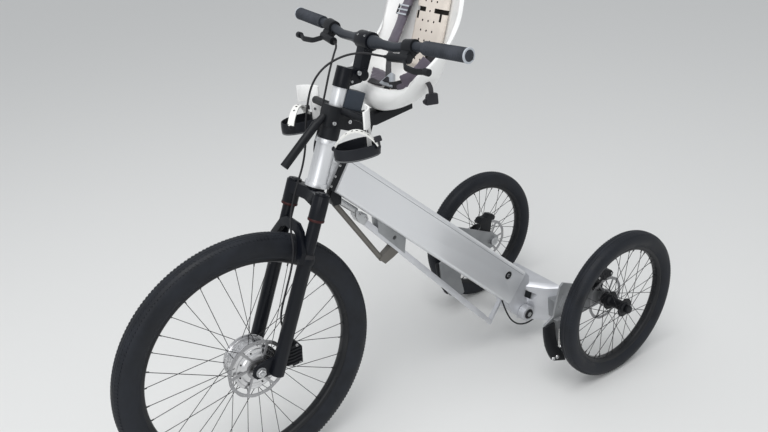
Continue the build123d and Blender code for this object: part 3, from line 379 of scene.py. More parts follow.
# %% Rubber, plastic and cloth helpers
def rubber_finish(name, colour, dust, rough=0.62):
    """Rubber with a dusty bloom and a fine moulded tooth."""
    made, tree, shader = finish(name, colour, rough)
    bloom = grain(tree, 22, detail=6)
    tooth = grain(tree, 1300, detail=2)
    dusty = blended(tree, spread(tree, bloom, 0, 1, 0.35, 0.75), colour, dust)
    tree.links.new(dusty, shader.inputs["Base Color"])
    tree.links.new(spread(tree, bloom, rough - 0.08, rough + 0.16), shader.inputs["Roughness"])
    relief(tree, shader, tooth, 0.00008, 0.4)
    shader.inputs["Specular IOR Level"].default_value = 0.24
    return made


def plastic_finish(name, colour, rough, tooth_depth, soil=0.06):
    """Moulded plastic with a faint grain and a trace of soil."""
    made, tree, shader = finish(name, colour, rough)
    tooth = grain(tree, 700, detail=2)
    cloud = grain(tree, 11, detail=5)
    soiled = tuple(part * (1 - soil) for part in colour)
    tree.links.new(blended(tree, spread(tree, cloud, 0, 1), colour, soiled), shader.inputs["Base Color"])
    tree.links.new(spread(tree, cloud, rough, rough + 0.12), shader.inputs["Roughness"])
    relief(tree, shader, tooth, tooth_depth, 0.4)
    shader.inputs["Specular IOR Level"].default_value = 0.5 if max(colour) > 0.1 else 0.25
    return made


def woven_finish(name, colour, pitch, depth):
    """Plain weave on the piece's own UV map, whose unit is a metre."""
    made, tree, shader = finish(name, colour, 0.85)
    place = tree.nodes.new("ShaderNodeTexCoord")
    waves = []
    for direction in ("X", "Y"):
        wave = tree.nodes.new("ShaderNodeTexWave")
        wave.bands_direction = direction
        wave.inputs["Scale"].default_value = 1.0 / pitch / 3.0
        tree.links.new(place.outputs["UV"], wave.inputs["Vector"])
        waves.append(wave.outputs["Fac"])
    both = tree.nodes.new("ShaderNodeMath")
    both.operation = "MULTIPLY"
    tree.links.new(waves[0], both.inputs[0])
    tree.links.new(waves[1], both.inputs[1])
    fade = grain(tree, 30, detail=4)
    mixed = tree.nodes.new("ShaderNodeMath")
    mixed.operation = "MULTIPLY_ADD"
    tree.links.new(both.outputs[0], mixed.inputs[0])
    mixed.inputs[1].default_value = 0.5
    tree.links.new(spread(tree, fade, 0.0, 0.5), mixed.inputs[2])
    darker = tuple(part * 0.62 for part in colour)
    tree.links.new(blended(tree, mixed.outputs[0], darker, colour), shader.inputs["Base Color"])
    relief(tree, shader, both.outputs[0], depth, 0.6)
    shader.inputs["Sheen Weight"].default_value = 0.35
    shader.inputs["Sheen Roughness"].default_value = 0.5
    return made


print("soft finish helpers ready")

# %% Rubber, plastic and cloth of this vehicle
tyre_rubber = rubber_finish("tyre_rubber", (0.010, 0.0115, 0.015), (0.020, 0.023, 0.030), 0.5)
grip_rubber = rubber_finish("grip_rubber", (0.03, 0.034, 0.042), (0.06, 0.066, 0.08), 0.6)
hose_rubber = rubber_finish("hose_rubber", (0.014, 0.014, 0.016), (0.03, 0.03, 0.033), 0.5)
cup_black = plastic_finish("cup_black", (0.009, 0.010, 0.013), 0.34, 0.00006, -0.8)
cup_grey = plastic_finish("cup_grey", (0.14, 0.145, 0.15), 0.5, 0.0001, 0.3)
guard_black = plastic_finish("guard_black", (0.010, 0.011, 0.013), 0.5, 0.0001, -0.5)
seat_white = plastic_finish("seat_white", (0.93, 0.93, 0.92), 0.3, 0.00004)
strap_white = plastic_finish("strap_white", (0.86, 0.86, 0.83), 0.42, 0.00006)
buckle_grey = plastic_finish("buckle_grey", (0.47, 0.50, 0.54), 0.34, 0.00005)
buckle_black = plastic_finish("buckle_black", (0.02, 0.02, 0.024), 0.34, 0.00005, -0.6)
harness_cloth = woven_finish("harness_cloth", (0.135, 0.115, 0.15), 0.0016, 0.0002)
# Beige of the pads: the pads are real parts, and their beige is the seat's white with painted shade in it.
pad_beige_painted_shade = plastic_finish("pad_beige_painted_shade", (0.76, 0.69, 0.62), 0.7, 0.0002, 0.12)
# Dark colour for the walls of holes and slots: painted shade inside the openings.
hole_painted_shade = plastic_finish("hole_painted_shade", (0.05, 0.045, 0.04), 0.8, 0.0001, 0.3)
webbing_black = woven_finish("webbing_black", (0.022, 0.02, 0.026), 0.0014, 0.0002)
ring_red = plastic_finish("ring_red", (0.04, 0.008, 0.008), 0.4, 0.00003)
print("finishes", len(bpy.data.materials))

# %% [markdown]
# ## Three ways to make a piece
#
# A turned piece, such as a tyre or a hub, is an outline carried round an axle. A piece
# that repeats is grown by a node tree: the tree takes one copy, sets it round the axle
# as often as asked, and turns the lot into a plain mesh. A piece whose solid is
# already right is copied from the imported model, and its hard edges are rounded,
# because a real edge always catches a line of light.

# %% Plain pieces
POINT_GAP = 1e-6


def around(count):
    """Even turns of a full circle, in radians."""
    return [2 * math.pi * step / count for step in range(count)]


def shaded(mesh, angle=32):
    """Smooth shading, with edges sharper than the angle kept crisp."""
    mesh.polygons.foreach_set("use_smooth", [True] * len(mesh.polygons))
    mesh.set_sharp_from_angle(angle=math.radians(angle))
    mesh.update()


def in_scene(name, data):
    """New object that holds the data, in the scene."""
    made = bpy.data.objects.new(name, data)
    scene.collection.objects.link(made)
    return made


def finished_mesh(holder):
    """Plain mesh of an object, with its curve or its modifiers worked out."""
    graph = bpy.context.evaluated_depsgraph_get()
    return bpy.data.meshes.new_from_object(holder.evaluated_get(graph))


def cleaned(mesh, gap):
    """Points closer than a gap in metres made one, and the normals turned outward."""
    work = bmesh.new()
    work.from_mesh(mesh)
    bmesh.ops.remove_doubles(work, verts=work.verts, dist=gap)
    bmesh.ops.recalc_face_normals(work, faces=work.faces)
    work.to_mesh(mesh)
    work.free()


def piece(name, points, faces, material, angle=32):
    """New mesh object from points in metres and faces, with its normals outward."""
    mesh = bpy.data.meshes.new(name)
    mesh.from_pydata([tuple(point) for point in points], [], faces)
    cleaned(mesh, POINT_GAP)
    mesh.materials.append(material)
    shaded(mesh, angle)
    return in_scene(name, mesh)


def lofted(name, rings, material, angle=32):
    """Closed piece through rings of equal count, with both ends filled."""
    count = len(rings[0])
    points = [point for ring in rings for point in ring]
    faces = [tuple(range(count)), tuple(range((len(rings) - 1) * count, len(rings) * count))]
    for level in range(len(rings) - 1):
        for index in range(count):
            following = (index + 1) % count
            low = level * count
            high = low + count
            faces.append((low + index, low + following, high + following, high + index))
    return piece(name, points, faces, material, angle)


print("plain piece helpers ready")

# %% Joining and placing
def joined(name, parts):
    """Several objects as one, under a new name."""
    mesh = bpy.data.meshes.new(name)
    work = bmesh.new()
    materials = []
    for part in parts:
        part_mesh = part.data
        slots = []
        for material in part_mesh.materials:
            if material not in materials:
                materials.append(material)
            slots.append(materials.index(material))
        start = len(work.faces)
        work.from_mesh(part_mesh)
        work.faces.ensure_lookup_table()
        for face in work.faces[start:]:
            face.material_index = slots[min(face.material_index, len(slots) - 1)]
    work.to_mesh(mesh)
    work.free()
    for material in materials:
        mesh.materials.append(material)
    for part in parts:
        bpy.data.objects.remove(part)
    return in_scene(name, mesh)


def settled(made, body, slot=None, *replaced):
    """The piece rides on a body and stands for CAD nodes, which are hidden. The slot's name is not used."""
    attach(made, body)
    if replaced:
        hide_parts(*replaced)
    return made


print("joining helpers ready")

# %% Turned pieces and bars
def lathe(name, profile, centre, material, segments=96, angle=32):
    """Ring turned about a lateral axle, from a closed outline of side and radius in mm."""
    points = []
    faces = []
    count = len(profile)
    for step, turn in enumerate(around(segments)):
        for side, radius in profile:
            spoke = Vector((radius * math.sin(turn), side, radius * math.cos(turn)))
            points.append(centre + spoke * MM)
        following = (step + 1) % segments
        for index in range(count):
            after = (index + 1) % count
            faces.append((
                step * count + index,
                step * count + after,
                following * count + after,
                following * count + index,
            ))
    return piece(name, points, faces, material, angle)


def tube(name, route, radius, material, sides=12):
    """Round bar along points in metres, with its ends closed."""
    rings = []
    side_vector = None
    for index, place in enumerate(route):
        before = route[max(index - 1, 0)]
        after = route[min(index + 1, len(route) - 1)]
        along = (after - before).normalized()
        if side_vector is None:
            side_vector = along.orthogonal().normalized()
        side_vector = (side_vector - along * side_vector.dot(along)).normalized()
        across = along.cross(side_vector)
        width = radius[index] if isinstance(radius, (list, tuple)) else radius
        rings.append([
            place + (side_vector * math.cos(turn) + across * math.sin(turn)) * width
            for turn in around(sides)
        ])
    return lofted(name, rings, material)


def spun(name, profile, forward, left, material, segments=32):
    """Closed round piece about a line along the steering axis, from (up, radius) in mm."""
    rings = []
    for up, radius in profile:
        rings.append([
            column(forward + radius * math.cos(turn), left + radius * math.sin(turn), up)
            for turn in around(segments)
        ])
    return lofted(name, rings, material)


print("turned piece helpers ready")

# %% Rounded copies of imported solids
def sharp_edges(work, angle):
    """Edges of a working mesh that turn by more than an angle in degrees."""
    inside = [edge for edge in work.edges if len(edge.link_faces) == 2]
    return [edge for edge in inside if edge.calc_face_angle(0) > math.radians(angle)]


FLAT_ANGLE = math.radians(0.6)
NODE_SLOTS = {part["node"]: part["material_slot"] for part in frame["record"]["subparts"]}


def softened(node, material, width=0.8, angle=30, crisp=40):
    """Copy of a CAD node, merged, with its hard edges rounded by a width in mm."""
    mesh = cad_nodes[node].data.copy()
    work = bmesh.new()
    work.from_mesh(mesh)
    bmesh.ops.remove_doubles(work, verts=work.verts, dist=POINT_GAP)
    bmesh.ops.dissolve_limit(work, angle_limit=FLAT_ANGLE, verts=work.verts, edges=work.edges)
    if width:
        bmesh.ops.bevel(
            work, geom=sharp_edges(work, angle), offset=width * MM, segments=2, profile=0.6,
            affect="EDGES", clamp_overlap=True, loop_slide=False,
        )
    bmesh.ops.triangulate(work, faces=[face for face in work.faces if len(face.verts) > 4])
    work.to_mesh(mesh)
    work.free()
    for name in [attribute.name for attribute in mesh.attributes if "normal" in attribute.name]:
        mesh.attributes.remove(mesh.attributes[name])
    mesh.materials.clear()
    mesh.materials.append(material)
    mesh.polygons.foreach_set("material_index", [0] * len(mesh.polygons))
    shaded(mesh, crisp)
    made = in_scene("dressed_" + node, mesh)
    return settled(made, cad_nodes[node]["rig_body"], NODE_SLOTS[node], node)


print("slots named", len(NODE_SLOTS))

# %% Node tree helpers
def node_tree(name, inputs):
    """Geometry tree with named inputs. Each input is a label, a kind and a first value."""
    tree = bpy.data.node_groups.new(name, "GeometryNodeTree")
    tree.interface.new_socket("Geometry", in_out="INPUT", socket_type="NodeSocketGeometry")
    for label, kind, value in inputs:
        socket = tree.interface.new_socket(label, in_out="INPUT", socket_type="NodeSocket" + kind)
        if value is not None:
            socket.default_value = value
    tree.interface.new_socket("Geometry", in_out="OUTPUT", socket_type="NodeSocketGeometry")
    entry = tree.nodes.new("NodeGroupInput")
    leave = tree.nodes.new("NodeGroupOutput")
    return tree, entry, leave


def wired(tree, kind, settings=None, **sockets):
    """Node of a kind, with each named socket set to a value or linked to an output."""
    node = tree.nodes.new(kind)
    for label, value in (settings or {}).items():
        setattr(node, label, value)
    for label, value in sockets.items():
        socket = node.inputs[label.replace("_", " ")]
        if isinstance(value, bpy.types.NodeSocket):
            tree.links.new(value, socket)
        else:
            socket.default_value = value
    return node


def maths(tree, operation, *values):
    """Math node of values or outputs."""
    node = tree.nodes.new("ShaderNodeMath")
    node.operation = operation
    for socket, value in zip(node.inputs, values):
        if isinstance(value, bpy.types.NodeSocket):
            tree.links.new(value, socket)
        else:
            socket.default_value = value
    return node.outputs[0]


def grown(name, tree, values, base=None):
    """Plain mesh that a tree makes of a base object, with values on its named inputs."""
    holder = base or in_scene(name, bpy.data.meshes.new(name))
    holder.name = name
    modifier = holder.modifiers.new(name, "NODES")
    modifier.node_group = tree
    for item in tree.interface.items_tree:
        if item.in_out == "INPUT" and item.name in values:
            modifier[item.identifier] = values[item.name]
    plain = finished_mesh(holder)
    holder.modifiers.remove(modifier)
    old = holder.data
    holder.data = plain
    bpy.data.meshes.remove(old)
    plain.name = name
    return holder


print("tree helpers ready")

# %% Copies round an axle
ring_tree, entry, leave = node_tree("copies_round_an_axle", [
    ("Copies", "Int", 12),
    ("Radius", "Float", 0.1),
    ("Side", "Float", 0.0),
    ("Start", "Float", 0.0),
    ("Tilt", "Float", 0.0),
    ("Centre", "Vector", (0, 0, 0)),
    ("Finish", "Material", None),
])
row = wired(ring_tree, "GeometryNodeMeshLine", Count=entry.outputs["Copies"])
index = ring_tree.nodes.new("GeometryNodeInputIndex").outputs[0]
share = maths(ring_tree, "DIVIDE", index, entry.outputs["Copies"])
turn = maths(ring_tree, "MULTIPLY_ADD", share, 2 * math.pi, entry.outputs["Start"])
across = maths(ring_tree, "MULTIPLY", maths(ring_tree, "SINE", turn), entry.outputs["Radius"])
height = maths(ring_tree, "MULTIPLY", maths(ring_tree, "COSINE", turn), entry.outputs["Radius"])
spot = wired(ring_tree, "ShaderNodeCombineXYZ", X=across, Y=entry.outputs["Side"], Z=height)
placed = wired(ring_tree, "GeometryNodeSetPosition", Geometry=row.outputs[0], Position=spot.outputs[0])
facing = wired(ring_tree, "ShaderNodeCombineXYZ", X=entry.outputs["Tilt"], Y=turn)
copies = wired(
    ring_tree, "GeometryNodeInstanceOnPoints", Points=placed.outputs[0],
    Instance=entry.outputs["Geometry"], Rotation=facing.outputs[0],
)
moved = wired(
    ring_tree, "GeometryNodeTransform", Geometry=copies.outputs[0], Translation=entry.outputs["Centre"],
)
real = wired(ring_tree, "GeometryNodeRealizeInstances", Geometry=moved.outputs[0])
tinted = wired(
    ring_tree, "GeometryNodeSetMaterial", Geometry=real.outputs[0], Material=entry.outputs["Finish"],
)
ring_tree.links.new(tinted.outputs[0], leave.inputs[0])
print("ring tree nodes", len(ring_tree.nodes))


def ring_of(name, base, copies, radius, side, centre, material, start=0.0, tilt=0.0):
    """Copies of a small object round a lateral axle, with sizes in mm."""
    return grown(name, ring_tree, {
        "Copies": copies,
        "Radius": radius * MM,
        "Side": side * MM,
        "Start": start,
        "Tilt": tilt,
        "Centre": tuple(centre),
        "Finish": material,
    }, base)


def wedge(name, length, width, height, sink, taper, material):
    """Small block whose top is narrower than its foot. It stands on Z, with sizes in mm."""
    rings = []
    for level, shrink in ((-sink, 0.0), (height, taper)):
        long_half = length / 2 - shrink
        wide_half = width / 2 - shrink
        rings.append([Vector((x * long_half, y * wide_half, level)) * MM for x, y in SQUARE])
    return lofted(name, rings, material)


print("ring helpers ready")

# %% [markdown]
# ## Screws wherever they are wanted
#
# Screws are small and many, so one tree makes them all. It reads a loose set of points,
# each with the direction that its screw faces, and sets a cap head with a hexagon
# socket on every point. A few lines of numbers then place a whole family of screws.

# %% Screw tree
screw_tree, entry, leave = node_tree("screws_at_points", [
    ("Radius", "Float", 0.003),
    ("Height", "Float", 0.002),
    ("Finish", "Material", None),
    ("Socket Finish", "Material", None),
])
t = screw_tree
given = entry.outputs
facing = wired(t, "GeometryNodeInputNamedAttribute", {"data_type": "FLOAT_VECTOR"}, Name="facing")
turned = wired(t, "FunctionNodeAlignRotationToVector", {"axis": "Z"}, Vector=facing.outputs[0])
branches = wired(t, "GeometryNodeJoinGeometry")
for sides, wide, narrow, lift, look_of in (
    (20, 1.0, 0.86, 0.0, "Finish"),
    (6, 0.52, 0.52, 0.12, "Socket Finish"),
):
    head = wired(
        t, "GeometryNodeMeshCone", Vertices=sides,
        Radius_Top=maths(t, "MULTIPLY", given["Radius"], narrow),
        Radius_Bottom=maths(t, "MULTIPLY", given["Radius"], wide),
        Depth=maths(t, "MULTIPLY", given["Height"], 1.0 + lift),
    )
    heads = wired(
        t, "GeometryNodeInstanceOnPoints", Points=given["Geometry"],
        Instance=head.outputs[0], Rotation=turned.outputs[0],
    )
    real = wired(t, "GeometryNodeRealizeInstances", Geometry=heads.outputs[0])
    tinted = wired(t, "GeometryNodeSetMaterial", Geometry=real.outputs[0], Material=given[look_of])
    t.links.new(tinted.outputs[0], branches.inputs[0])
t.links.new(branches.outputs[0], leave.inputs[0])
print("screw tree nodes", len(screw_tree.nodes))

# %% Screws and cuts
def screws(name, radius, height, places, material, socket=None):
    """Cap screws, with sizes in mm, at pairs of a point in metres and the way it faces."""
    mesh = bpy.data.meshes.new(name)
    mesh.from_pydata([tuple(place) for place, way in places], [], [])
    ways = mesh.attributes.new("facing", "FLOAT_VECTOR", "POINT")
    for index, (place, way) in enumerate(places):
        ways.data[index].vector = Vector(way).normalized()
    holder = in_scene(name, mesh)
    made = grown(name, screw_tree, {
        "Radius": radius * MM,
        "Height": height * MM,
        "Finish": material,
        "Socket Finish": socket or screw_black,
    }, holder)
    shaded(made.data, 40)
    return made


def cut(made, cutter):
    """The piece with another closed piece taken out of it."""
    modifier = made.modifiers.new("cut", "BOOLEAN")
    modifier.operation = "DIFFERENCE"
    modifier.solver = "EXACT"
    modifier.material_mode = "TRANSFER"
    modifier.object = cutter
    plain = finished_mesh(made)
    made.modifiers.remove(modifier)
    made.data = plain
    bpy.data.objects.remove(cutter)
    shaded(plain, 40)
    return made


print("screw and cut helpers ready")

# %% [markdown]
# ## Tyres
#
# A tyre is a turned ring with a round crown. The road tyre here has a smooth middle
# rib between two grooves, and rows of small slanted blocks on both shoulders. The
# casing is turned lower than the drawing's radius by the height of the blocks, so that
# the tread ends on the drawn radius and the vehicle stands on its tyres.

# %% Tyre section and tread
TREAD_HEIGHT = 0.7
BLOCK_SLANT = 0.42


def tyre_profile(radius, half, rim_outer, rim_half):
    """Closed outline of a tyre's section, as side and radius in mm."""
    base = radius - TREAD_HEIGHT
    depth = base - rim_outer
    right_side = [
        (1.5, radius),
        (3.2, radius - 0.3),
        (4.0, base - 0.6),
        (5.4, base - 0.7),
        (6.2, base + 0.2),
        (half * 0.42, base - 0.9),
        (half * 0.66, base - depth * 0.075),
        (half * 0.84, base - depth * 0.17),
        (half * 0.955, base - depth * 0.30),
        (half, base - depth * 0.45),
        (half * 0.965, base - depth * 0.62),
        (half * 0.86, base - depth * 0.78),
        (half * 0.72, base - depth * 0.90),
        (rim_half + 2.2, rim_outer + 3.0),
        (rim_half + 1.6, rim_outer + 0.8),
        (rim_half - 0.4, rim_outer),
    ]
    left_side = [(-side, radius_here) for side, radius_here in reversed(right_side)]
    return left_side + right_side


def tread_rows(name, centre, radius, half, copies, parts):
    """Rows of slanted blocks on both shoulders of a tyre."""
    base = radius - TREAD_HEIGHT
    for row_side, drop, tilt, width, length in (
        (half * 0.36, 0.8, 0.22, half * 0.24, 5.4),
        (half * 0.70, half * 0.18, 0.62, half * 0.24, 4.6),
    ):
        for sign in (1, -1):
            block = wedge(f"{name}_block", length, width, TREAD_HEIGHT, 2.0, 0.5, tyre_rubber)
            block.data.transform(Matrix.Rotation(sign * BLOCK_SLANT, 4, "Z"))
            start = 0.0 if sign > 0 else math.pi / copies
            parts.append(ring_of(
                f"{name}_row_{round(row_side)}_{sign}", block, copies, base - drop, sign * row_side,
                centre, tyre_rubber, start, -sign * tilt,
            ))


def road_tyre(name, centre, radius, half, rim_outer, rim_half, copies, body, node):
    """Tyre with a ribbed crown and blocks on its shoulders."""
    profile = tyre_profile(radius, half, rim_outer, rim_half)
    parts = [lathe(f"{name}_casing", profile, centre, tyre_rubber, 144, 40)]
    tread_rows(name, centre, radius, half, copies, parts)
    made = joined(name, parts)
    settled(made, body, "tyre", node)
    print(name, "faces", len(made.data.polygons))
    return made


print("tyre helpers ready")

# %% Three tyres
FRONT_AXLE = at(WHEELBASE, 0, FRONT_RADIUS)
LEFT_AXLE = at(0, REAR_TRACK / 2, REAR_RADIUS)
RIGHT_AXLE = at(0, -REAR_TRACK / 2, REAR_RADIUS)
REAR_WHEELS = (("left", LEFT_AXLE, 1), ("right", RIGHT_AXLE, -1))
FRONT_TYRE_HALF = 28
REAR_TYRE_HALF = 25
FRONT_RIM_OUTER = 283
REAR_RIM_OUTER = 185
FRONT_RIM_HALF = 15
REAR_RIM_HALF = 14

road_tyre(
    "front_road_tyre", FRONT_AXLE, FRONT_RADIUS, FRONT_TYRE_HALF, FRONT_RIM_OUTER, FRONT_RIM_HALF,
    220, "front_wheel", "front_tyre",
)
for hand, axle, side in REAR_WHEELS:
    road_tyre(
        f"rear_road_tyre_{hand}", axle, REAR_RADIUS, REAR_TYRE_HALF, REAR_RIM_OUTER, REAR_RIM_HALF,
        148, f"rear_{hand}_wheel", f"rear_tyre_{hand}",
    )

# %% [markdown]
# ## Rims and spokes
#
# The rims are black, with a hollow box section and a small lip that holds the tyre.
# Each wire spoke leaves one flange of the hub, crosses its neighbours and reaches the
# rim in a black nipple. The spokes are grown as lines by a tree that works out both
# ends of every spoke from its number, and gives each line a round section. That is
# easier to change than thirty-six copied rods.

# %% Rims
def rim_profile(inner, outer, half):
    """Closed outline of a rim with a rounded inner face, as side and radius in mm."""
    right_side = [
        (2.5, inner),
        (6.5, inner + 0.5),
        (10.0, inner + 2.2),
        (half - 1.6, inner + 4.9),
        (half - 0.3, inner + 6.6),
        (half, inner + 8.6),
        (half + 0.8, outer + 0.6),
        (half + 0.5, outer + 1.6),
        (half - 1.0, outer + 1.4),
        (half - 1.8, outer - 1.0),
    ]
    left_side = [(-side, radius_here) for side, radius_here in reversed(right_side)]
    return left_side + right_side


rim_black = coated_finish("rim_black", (0.013, 0.014, 0.016), 0.28, (0.05, 0.05, 0.053))
front_profile = rim_profile(271, FRONT_RIM_OUTER, FRONT_RIM_HALF)
front_rim = lathe("front_box_rim", front_profile, FRONT_AXLE, rim_black, 144, 50)
settled(front_rim, "front_wheel", "black_metal", "front_rim")
for hand, axle, side in REAR_WHEELS:
    rear_profile = rim_profile(174, REAR_RIM_OUTER, REAR_RIM_HALF)
    rear_rim = lathe(f"rear_box_rim_{hand}", rear_profile, axle, rim_black, 120, 50)
    settled(rear_rim, f"rear_{hand}_wheel", "black_metal", f"rear_rim_{hand}")
print("rims done")

# %% Spoke tree
lacing_tree, entry, leave = node_tree("laced_spokes", [
    ("Spokes", "Int", 36),
    ("Flange Radius", "Float", 0.06),
    ("Rim Radius", "Float", 0.27),
    ("Flange Side", "Float", 0.03),
    ("Flange Inset", "Float", 0.0022),
    ("Rim Side", "Float", 0.003),
    ("Lean", "Float", 0.4),
    ("Wire", "Float", 0.001),
    ("Centre", "Vector", (0, 0, 0)),
    ("Finish", "Material", None),
])
t = lacing_tree
given = entry.outputs
marks = wired(t, "GeometryNodeMeshLine", Count=given["Spokes"])
line = wired(t, "GeometryNodeCurvePrimitiveLine")
lines = wired(t, "GeometryNodeInstanceOnPoints", Points=marks.outputs[0], Instance=line.outputs[0])
loose = wired(t, "GeometryNodeRealizeInstances", Geometry=lines.outputs[0])
number = t.nodes.new("GeometryNodeInputIndex").outputs[0]
spoke = maths(t, "FLOOR", maths(t, "DIVIDE", number, 2.0))
at_rim = maths(t, "FLOORED_MODULO", number, 2.0)
side_sign = maths(t, "MULTIPLY_ADD", maths(t, "FLOORED_MODULO", spoke, 2.0), -2.0, 1.0)
pair = maths(t, "FLOOR", maths(t, "DIVIDE", spoke, 2.0))
trail = maths(t, "MULTIPLY_ADD", maths(t, "FLOORED_MODULO", pair, 2.0), -2.0, 1.0)
rim_turn = maths(t, "MULTIPLY", maths(t, "DIVIDE", spoke, given["Spokes"]), 2 * math.pi)
hub_turn = maths(t, "ADD", rim_turn, maths(t, "MULTIPLY", trail, given["Lean"]))
hub_side = maths(t, "MULTIPLY_ADD", trail, given["Flange Inset"], given["Flange Side"])
ends = []
for angle_here, reach, side_here in (
    (hub_turn, given["Flange Radius"], hub_side),
    (rim_turn, given["Rim Radius"], given["Rim Side"]),
):
    ends.append(wired(
        t, "ShaderNodeCombineXYZ",
        X=maths(t, "MULTIPLY", maths(t, "COSINE", angle_here), reach),
        Y=maths(t, "MULTIPLY", side_sign, side_here),
        Z=maths(t, "MULTIPLY", maths(t, "SINE", angle_here), reach),
    ).outputs[0])
chosen = wired(t, "ShaderNodeMix", {"data_type": "VECTOR"})
t.links.new(at_rim, chosen.inputs[0])
t.links.new(ends[0], chosen.inputs[4])
t.links.new(ends[1], chosen.inputs[5])
laid = wired(t, "GeometryNodeSetPosition", Geometry=loose.outputs[0], Position=chosen.outputs[1])
section = wired(t, "GeometryNodeCurvePrimitiveCircle", Resolution=6, Radius=given["Wire"])
wires = wired(
    t, "GeometryNodeCurveToMesh", Curve=laid.outputs[0], Profile_Curve=section.outputs[0], Fill_Caps=True,
)
centred = wired(t, "GeometryNodeTransform", Geometry=wires.outputs[0], Translation=given["Centre"])
solid = wired(t, "GeometryNodeRealizeInstances", Geometry=centred.outputs[0])
coated = wired(t, "GeometryNodeSetMaterial", Geometry=solid.outputs[0], Material=given["Finish"])
t.links.new(coated.outputs[0], leave.inputs[0])
print("lacing tree nodes", len(t.nodes))

# %% Spokes and nipples
spoke_black = cast_finish("spoke_black", (0.02, 0.02, 0.022), 0.3, 0.6)
nipple_black = cast_finish("nipple_black", (0.07, 0.07, 0.07), 0.4, 0.6)
SPOKES = 36
WIRE_RADIUS = 0.9
FLANGE_INSET = 2.2
NIPPLE_SIDE = 3.0


def laced(name, axle, flange, rim, offset, lean, body, node):
    """Spokes of one wheel with their nipples, with sizes in mm."""
    wires = grown(f"{name}_wires", lacing_tree, {
        "Spokes": SPOKES,
        "Flange Radius": flange * MM,
        "Rim Radius": rim * MM,
        "Flange Side": offset * MM,
        "Flange Inset": FLANGE_INSET * MM,
        "Rim Side": NIPPLE_SIDE * MM,
        "Lean": math.radians(lean),
        "Wire": WIRE_RADIUS * MM,
        "Centre": tuple(axle),
        "Finish": spoke_black,
    })
    parts = [wires]
    for sign, start in ((1, 2 * math.pi / SPOKES), (-1, 0.0)):
        ends = [Vector((0, 0, -9 * MM)), Vector((0, 0, 1 * MM))]
        nipple = tube("nipple", ends, [1.5 * MM, 2.3 * MM], nipple_black, 6)
        parts.append(ring_of(
            f"{name}_nipples_{sign}", nipple, SPOKES // 2, rim, sign * NIPPLE_SIDE, axle,
            nipple_black, start,
        ))
    made = joined(name, parts)
    shaded(made.data, 50)
    settled(made, body, "black_metal", node)
    print(name, "faces", len(made.data.polygons))


laced("front_wire_spokes", FRONT_AXLE, 59, 272, 28.5, 22, "front_wheel", "front_spokes")
for hand, axle, side in REAR_WHEELS:
    laced(f"rear_wire_spokes_{hand}", axle, 26, 175, 26, 55, f"rear_{hand}_wheel", f"rear_spokes_{hand}")

# %% [markdown]
# ## Hubs and brake discs
#
# The front hub is a motor in a silver drum: a wide body between two thin flanges, a
# stepped cover on each side and a ring of screws. The rear hubs are slim and black. A
# brake disc is a thin sheet with many cut-outs, which is why it is drawn as a flat
# outline with holes and then given its thickness. The flat outline is a curve, which
# Blender fills for us.

# %% Hub motor
def mirrored(half_profile, bore):
    """Closed outline that is the same on both sides, from its right half, with a bore."""
    left_side = [(-side, radius_here) for side, radius_here in half_profile]
    outside = list(reversed(left_side)) + half_profile
    return [(outside[0][0], bore)] + outside + [(outside[-1][0], bore)]


AXLE_BORE = 6.05
MOTOR_HALF = [
    (0.6, 54.5), (5, 54.5), (5.4, 53.6), (7, 53.6), (7.4, 54.5), (14, 54.5), (14.4, 53.6), (16, 53.6),
    (16.4, 54.5), (26, 54.5), (27, 55.5), (27.0, 61.0), (27.6, 62), (29.6, 62), (30.2, 61), (30.4, 54),
    (32.5, 52.5), (33.2, 51), (33.4, 44), (34.4, 42.5), (37, 40), (37.6, 38.5), (37.6, 24),
]
motor = lathe("motor_drum", mirrored(MOTOR_HALF, AXLE_BORE), FRONT_AXLE, motor_silver, 120, 24)


def socket_screw(name, radius, height, material):
    """Cap screw with a hexagon socket. It stands on Z, with sizes in mm."""
    rings = []
    for reach, level, hexagon in (
        (radius, -1.0, False),
        (radius, height - 0.5, False),
        (radius - 0.5, height, False),
        (radius * 0.52, height, True),
        (radius * 0.48, height * 0.25, True),
    ):
        ring = []
        for turn in around(24):
            here = reach
            if hexagon:
                corner = (turn % (math.pi / 3)) - math.pi / 6
                here = reach * math.cos(math.pi / 6) / math.cos(corner)
            ring.append(Vector((here * math.cos(turn), here * math.sin(turn), level)) * MM)
        rings.append(ring)
    return lofted(name, rings, material, 40)


parts = [motor]
for sign in (1, -1):
    screw = socket_screw("cover_screw", 2.4, 1.6, screw_black)
    screw.data.transform(Matrix.Rotation(-sign * math.pi / 2, 4, "X"))
    parts.append(ring_of(f"cover_screws_{sign}", screw, 8, 47.5, sign * 33.3, FRONT_AXLE, screw_black, 0.2))
motor = joined("hub_motor", parts)
settled(motor, "front_wheel", "polished", "front_hub")
print("hub motor faces", len(motor.data.polygons))

# %% Rear hubs
REAR_HUB_HALF = [
    (0.5, 15), (17, 15.4), (21, 18.5), (24.2, 19.5), (24.5, 28.4), (25.2, 29), (26.8, 29), (27.5, 28.4),
    (27.8, 19), (31, 17), (33, 15), (33, 9),
]
ROTOR_CARRIER = (
    (53, AXLE_BORE), (53, 18), (50, 20), (44, 20), (40, 16), (30, 15), (30, AXLE_BORE),
)
for hand, axle, side in REAR_WHEELS:
    hub_points = mirrored(REAR_HUB_HALF, AXLE_BORE)
    hub = lathe(f"rear_turned_hub_{hand}", hub_points, axle, frame_black, 72, 24)
    carrier_points = [(-side * reach, radius) for reach, radius in ROTOR_CARRIER]
    carrier = lathe(f"rotor_carrier_{hand}", carrier_points, axle, frame_black, 48, 24)
    hub = joined(f"rear_slim_hub_{hand}", [hub, carrier])
    settled(hub, f"rear_{hand}_wheel", "black_metal", f"rear_hub_{hand}")
print("rear hubs done")

# %% Brake discs
DISC_THICKNESS = 2.0
DISC_WAVE = 0.018
REAR_DISC_SIDE = 257


def polar(reach, turn):
    """Flat point at a distance from the middle and a turn."""
    return reach * math.cos(turn), reach * math.sin(turn)


